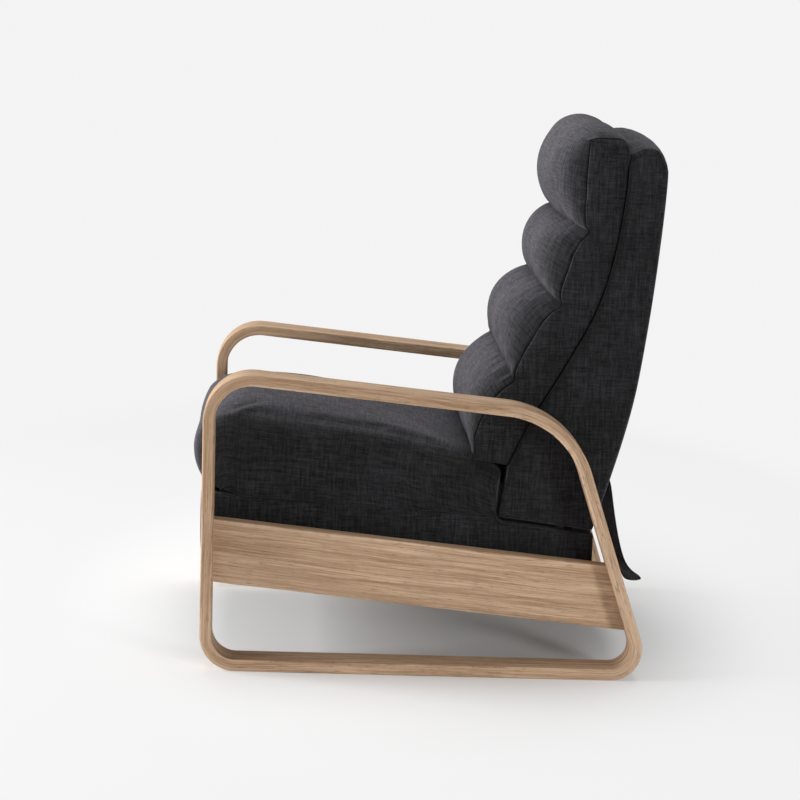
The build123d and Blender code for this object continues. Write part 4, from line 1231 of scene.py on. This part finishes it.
@dataclass
class Seat:
    """The seat: a crowned cushion with a rounded nose and padded sides below it."""

    half_width: float = 0.2715
    side_half_width: float = 0.273
    foot: tuple[float, float] = (-9.0, 335.0)
    waist: tuple[float, float] = (-26.0, 373.0)
    shoulder: tuple[float, float] = (-18.0, 424.0)
    brow: tuple[float, float] = (60.0, 436.0)
    crown_rise: float = 36.0
    tail: tuple[float, float] = (500.0, 389.0)
    rear_top: tuple[float, float] = (544.0, 369.0)
    deck_front: tuple[float, float] = (67.0, 309.5)
    deck_rear: tuple[float, float] = (536.0, 285.5)
    side_pull: float = 6.0
    corner_reach: float = 0.062
    corner_pull: float = 0.012
    edge_radius: float = 0.036
    edge_steps: int = 8
    edge_degrees: float = 82.0
    board_front: float = 14.0
    board_rear: float = 717.5
    board_top_front: float = 275.5
    board_margin: float = 19.0
    board_crest: tuple = ((14.0, 314.5), (26, 312.3), (66, 307.5), (300, 297.1), (530, 285.3), (537, 283),
                          (541, 272.5), (560, 270), (717.5, 252.2))
    columns: int = 60
    rows_through: int = 14
    steps: tuple[int, ...] = (9, 8, 12, 62, 8)
    bottom_shares: tuple[float, ...] = (0.0, 0.03, 0.07, 0.135, 0.90, 1.0)

    def top_line(self, fullness: float) -> np.ndarray:
        """The cushion's outline from the foot of the nose over the top to the rear."""
        pull = self.side_pull * (1 - fullness)
        rise = self.crown_rise * fullness
        foot = side_point(self.foot[0] + pull, self.foot[1])
        waist = side_point(self.waist[0] + pull, self.waist[1])
        shoulder = side_point(self.shoulder[0] + pull, self.shoulder[1] + rise * 0.2)
        brow = side_point(self.brow[0], self.brow[1] + rise)
        knuckle = between(shoulder, brow, 0.5) + np.array([-0.008, 0.008])
        tail = side_point(*self.tail)
        crest = between(brow, tail, 0.5) + np.array([0, 0.008 + rise * 0.32 * MM])
        nose = arc_points(foot, waist, shoulder, self.steps[0] + self.steps[1])
        cheek = arc_points(shoulder, knuckle, brow, self.steps[2])
        top = arc_points(brow, crest, tail, self.steps[3])
        end = between(tail, side_point(*self.rear_top), even(self.steps[4])[:, None])
        return np.concatenate([nose, cheek[1:], top[1:], end[1:]])

    @staticmethod
    def wrapped_flat(cap: np.ndarray, edge: np.ndarray, through: np.ndarray, sign: int) -> np.ndarray:
        """Flat cloth coordinates of a side, so that the weave runs on from the top over the edge.

        Args:
            cap: the side's points by row and share of the way up.
            edge: the top's flat coordinates along the shared edge.
            through: the shares of the way up.
            sign: which side it is.

        Returns:
            Two lengths in metres for each point.
        """
        down = cap[:, -1:, 2] - cap[..., 2]
        shift = edge[len(edge) // 2, 1] - cap[len(edge) // 2, -1, 1]
        along = (cap[..., 1] + shift) * (1 - through[None, :]) + edge[:, 1:2] * through[None, :]
        return np.stack([edge[:, :1] + sign * down, along], -1)

    def cushion(self, linen: bpy.types.Material) -> None:
        """Builds the crowned cushion as blown up cloth held at its seams."""
        flat_half = self.half_width - self.edge_radius
        turns = np.linspace(0, math.radians(self.edge_degrees), self.edge_steps + 1)[1:]
        places = np.linspace(-flat_half, flat_half, self.columns + 1)
        side = flat_half + self.edge_radius * np.sin(turns)
        x = np.concatenate([-side[::-1], places, side])
        drop = self.edge_radius * (1 - np.cos(turns))
        drops = np.concatenate([drop[::-1], np.zeros(len(places)), drop])
        deck = side_points((self.foot, self.deck_front, self.deck_rear))
        below = resample(deck, stepped(self.bottom_shares, self.steps))
        tops = []
        for spot, fall in zip(x, drops):
            line = self.top_line(crown(float(spot) / self.half_width))
            normal = inward(line, False)
            for _ in range(6):
                normal[1:-1] = (normal[:-2] + normal[1:-1] * 2 + normal[2:]) / 4
            tops.append(line + normal / np.hypot(*normal.T)[:, None] * fall)
        face, under = loft(x, tops), loft(x, [below] * len(x))
        under[0] = face[0]
        for grid in (face, under):
            ahead = np.clip((grid[..., 1] - side_point(self.waist[0], 0)[0]) / self.corner_reach, 0, 1)
            grid[..., 0] *= 1 - self.corner_pull * (1 - ahead) ** 2 / self.half_width
        work = Patchwork("seat_cushion_linen")
        through = even(self.rows_through)
        work.grid(face, flat_lengths(face))
        under_numbers = ids(work.grid(under, flat_lengths(under), flip=True))
        for column, flip in ((0, True), (-1, False)):
            cap = span(under[:, column], face[:, column], through).swapaxes(0, 1)
            flat = self.wrapped_flat(cap, flat_lengths(face)[:, column], through, 1 if column else -1)
            work.grid(cap, flat, flip=flip)
        end = span(under[-1], face[-1], through)
        end_numbers = ids(work.grid(end, flat_lengths(end)))
        obj = work.build(closed=True)
        held = dict.fromkeys([*under_numbers, *end_numbers], 1.0)
        Pressure(force=2.0, cap=0.0045, side_cap=0.003).settle(obj, held)
        wave(obj, 0.16, 0.004, 8.2, set(under_numbers))
        subdivide(obj)
        smooth(obj)
        finish_piece(obj, linen, Body.SEAT, "seat_cushion")

    def sides(self, linen: bpy.types.Material) -> None:
        """Builds the padded cloth on the outside of the seat frame."""
        fall = math.tan(math.radians(RAIL_FALL_DEGREES))
        low_front, low_rear = (side_point(depth, self.board_top_front - depth * fall - self.board_margin)
                               for depth in (self.board_front, self.board_rear))
        top = round_off(side_points(self.board_crest), 2)
        for sign, name in ((1, "left"), (-1, "right")):
            wrap = Wrap("seat_side_linen_" + name, np.array([low_front, top[0]]), top, np.array([top[-1], low_rear]),
                        np.array([low_rear, low_front]), outside=self.side_half_width + 0.0005, lap_to=0.243,
                        proud=(0.0006, 0.0006, 0.0006, 0.0), radius=(0.005, 0.004, 0.008, 0.001),
                        laps=(True, True, True, False), bulge=0.0015, long_steps=16, short_steps=90)
            obj = wrap.build((sign,))
            finish_piece(obj, linen, Body.SEAT, "seat_side_cover_" + name)


@dataclass
class Footrest:
    """The padded front of the footrest."""

    half_width: float = 0.256
    front: float = -12.0
    rear: float = 10.0
    low: float = 176.0
    high: float = 326.0
    edge: float = 6.0
    crown_depth: float = 7.0
    columns: int = 70
    rows: int = 24
    rows_through: int = 4

    def face(self, ahead: bool) -> np.ndarray:
        """The front or rear face as a grid."""
        middle, half = (self.low + self.high) / 2, (self.high - self.low) / 2
        rows = []
        for lift in map(float, np.linspace(-1, 1, self.rows + 1)):
            row = []
            for share in map(float, np.linspace(-1, 1, self.columns + 1)):
                full = crown(share) * max(0.0, 1 - abs(lift) ** 5) ** 0.6
                depth = self.front + self.crown_depth * 1.6 * (1 - full) if ahead else self.rear
                height = middle + lift * (half - self.edge * (1 - crown(share)) / 2)
                row.append((share * self.half_width, *side_point(depth, height)))
            rows.append(row)
        return np.array(rows)

    def pad(self, linen: bpy.types.Material) -> None:
        """Builds the pad as a crowned slab with rounded edges."""
        work = Patchwork("footrest_pad_linen")
        face, hind = self.face(True), self.face(False)
        steps = even(self.rows_through)
        work.grid(face, flat_lengths(face))
        work.grid(hind, flat_lengths(hind), flip=True)
        for column, flip in ((0, True), (-1, False)):
            cap = span(hind[:, column], face[:, column], steps).swapaxes(0, 1)
            work.grid(cap, cap[..., 1:], flip=flip)
        for row, flip in ((0, True), (-1, False)):
            cap = span(face[row], hind[row], steps)
            work.grid(cap, flat_lengths(cap), flip=flip)
        obj = work.build(closed=True)
        subdivide(obj)
        wave(obj, 0.12, 0.0025, 1.4, set())
        smooth(obj)
        finish_piece(obj, linen, Body.FOOTREST, "footrest_pad")


@dataclass
class Studio:
    """Floor, backdrop, lamps and camera."""

    yaw: float = 0.04214
    pitch: float = 0.17131
    roll: float = 0.03722
    lens: float = 108.0
    sensor: float = 36.0
    place: Triple = (4.57837, -0.228715, 1.24258)
    floor_tone: float = 0.90
    backdrop: float = 0.90
    floor_size: float = 24.0
    world_strength: float = 0.24

    def camera(self) -> None:
        """Places the camera where the photograph was taken."""
        cos_y, sin_y, cos_p, sin_p = (turn(angle) for angle in (self.yaw, self.pitch)
                                      for turn in (math.cos, math.sin))
        ahead = Vector((-cos_y * cos_p, sin_y * cos_p, -sin_p))
        right = Vector((sin_y, cos_y, 0))
        up = right.cross(ahead)
        across = right * math.cos(self.roll) + up * math.sin(self.roll)
        upward = up * math.cos(self.roll) - right * math.sin(self.roll)
        data = bpy.data.cameras.new("camera")
        data.sensor_width = self.sensor
        data.lens = self.lens
        obj = bpy.data.objects.new("camera", data)
        bpy.context.scene.collection.objects.link(obj)
        turn = Matrix((across, upward, -ahead)).transposed().to_4x4()
        obj.matrix_world = Matrix.Translation(self.place) @ turn
        bpy.context.scene.camera = obj

    def floor(self) -> None:
        """Builds the wide pale floor, whose glow, seen by the camera, paints light over the chair's cast shadow and
        turns it into the backdrop's tone away from the chair.
        """
        clear_selection()
        bpy.ops.mesh.primitive_plane_add(size=self.floor_size, location=(0, 0, 0))
        obj = bpy.context.object
        obj.name = "studio_floor"
        material, graph = new_material("studio_paper")
        x, y, _ = graph.split(graph.node("ShaderNodeTexCoord").outputs["Object"])
        sides = [graph.math("DIVIDE", graph.add(x, 0.30), 1.5), graph.math("DIVIDE", y, 0.85)]
        away = graph.math("SQRT", graph.dot(sides[0], sides[0], sides[1], sides[1]))
        paper = graph.node("ShaderNodeBsdfPrincipled", {"Base Color": (self.floor_tone,) * 3, "Roughness": 0.9})
        glow = graph.node("ShaderNodeEmission", {"Color": (self.backdrop,) * 3})
        light = graph.node("ShaderNodeLightPath").outputs
        glass = graph.math("MAXIMUM", light["Is Glossy Ray"], light["Is Transmission Ray"])
        seen = graph.math("MAXIMUM", light["Is Camera Ray"], glass)
        # Painted light: the glow lightens the cast shadow more with distance from the chair and leaves the shade
        # under it
        share = graph.math("MAXIMUM", graph.ramp(away, 0.42, 0.90, 0.0, 0.85), graph.ramp(away, 0.6, 1.7))
        mix = graph.node("ShaderNodeMixShader", {0: graph.mul(seen, share), 1: paper.outputs[0], 2: glow.outputs[0]})
        graph.node("ShaderNodeOutputMaterial", {0: mix.outputs[0]})
        obj.data.materials.append(material)

    def lamp(self, name: str, place: Triple, aim_height: float, size: float, power: float) -> None:
        """Hangs one soft square lamp that looks at a height above the middle."""
        data = bpy.data.lights.new(name, "AREA")
        data.size = size
        data.energy = power
        obj = bpy.data.objects.new(name, data)
        obj.visible_camera = False
        bpy.context.scene.collection.objects.link(obj)
        turn = (Vector((0, 0, aim_height)) - Vector(place)).to_track_quat("-Z", "Y")
        obj.matrix_world = Matrix.Translation(place) @ turn.to_matrix().to_4x4()

    def light(self) -> None:
        """Sets the lamps and the world."""
        bpy.context.scene.view_settings.view_transform = "Standard"
        world = bpy.data.worlds.new("studio")
        world.use_nodes = True
        graph = Graph(world.node_tree)
        back = graph.node("ShaderNodeBackground", {"Color": (1.0, 1.0, 1.0), "Strength": self.world_strength})
        seen = graph.node("ShaderNodeBackground", {"Color": (self.backdrop,) * 3})
        ray = graph.node("ShaderNodeLightPath").outputs["Is Camera Ray"]
        mix = graph.node("ShaderNodeMixShader", {0: ray, 1: back.outputs[0], 2: seen.outputs[0]})
        graph.node("ShaderNodeOutputWorld", {0: mix.outputs[0]})
        bpy.context.scene.world = world
        self.lamp("key", place=(0.3, -3.9, 1.6), aim_height=0.6, size=2.6, power=212.0)
        self.lamp("side", place=(3.6, 2.6, 0.9), aim_height=0.45, size=0.8, power=66.0)
        self.lamp("top", place=(-0.9, 0.0, 3.4), aim_height=0.4, size=2.6, power=60.0)


def main() -> None:
    """Builds every part of the scene in order."""
    logging.basicConfig(level=logging.INFO, format="%(message)s")
    studio = Studio()
    studio.camera()
    finishes = Finishes()
    finishes.dress_all()
    seat = Seat()
    seat.cushion(finishes.linen)
    seat.sides(finishes.linen)
    back = Back()
    back.cushion(finishes.linen)
    back.shell(finishes.linen)
    back.flap(finishes.linen)
    Footrest().pad(finishes.linen)
    studio.floor()
    studio.light()


if __name__ == "__main__":
    main()
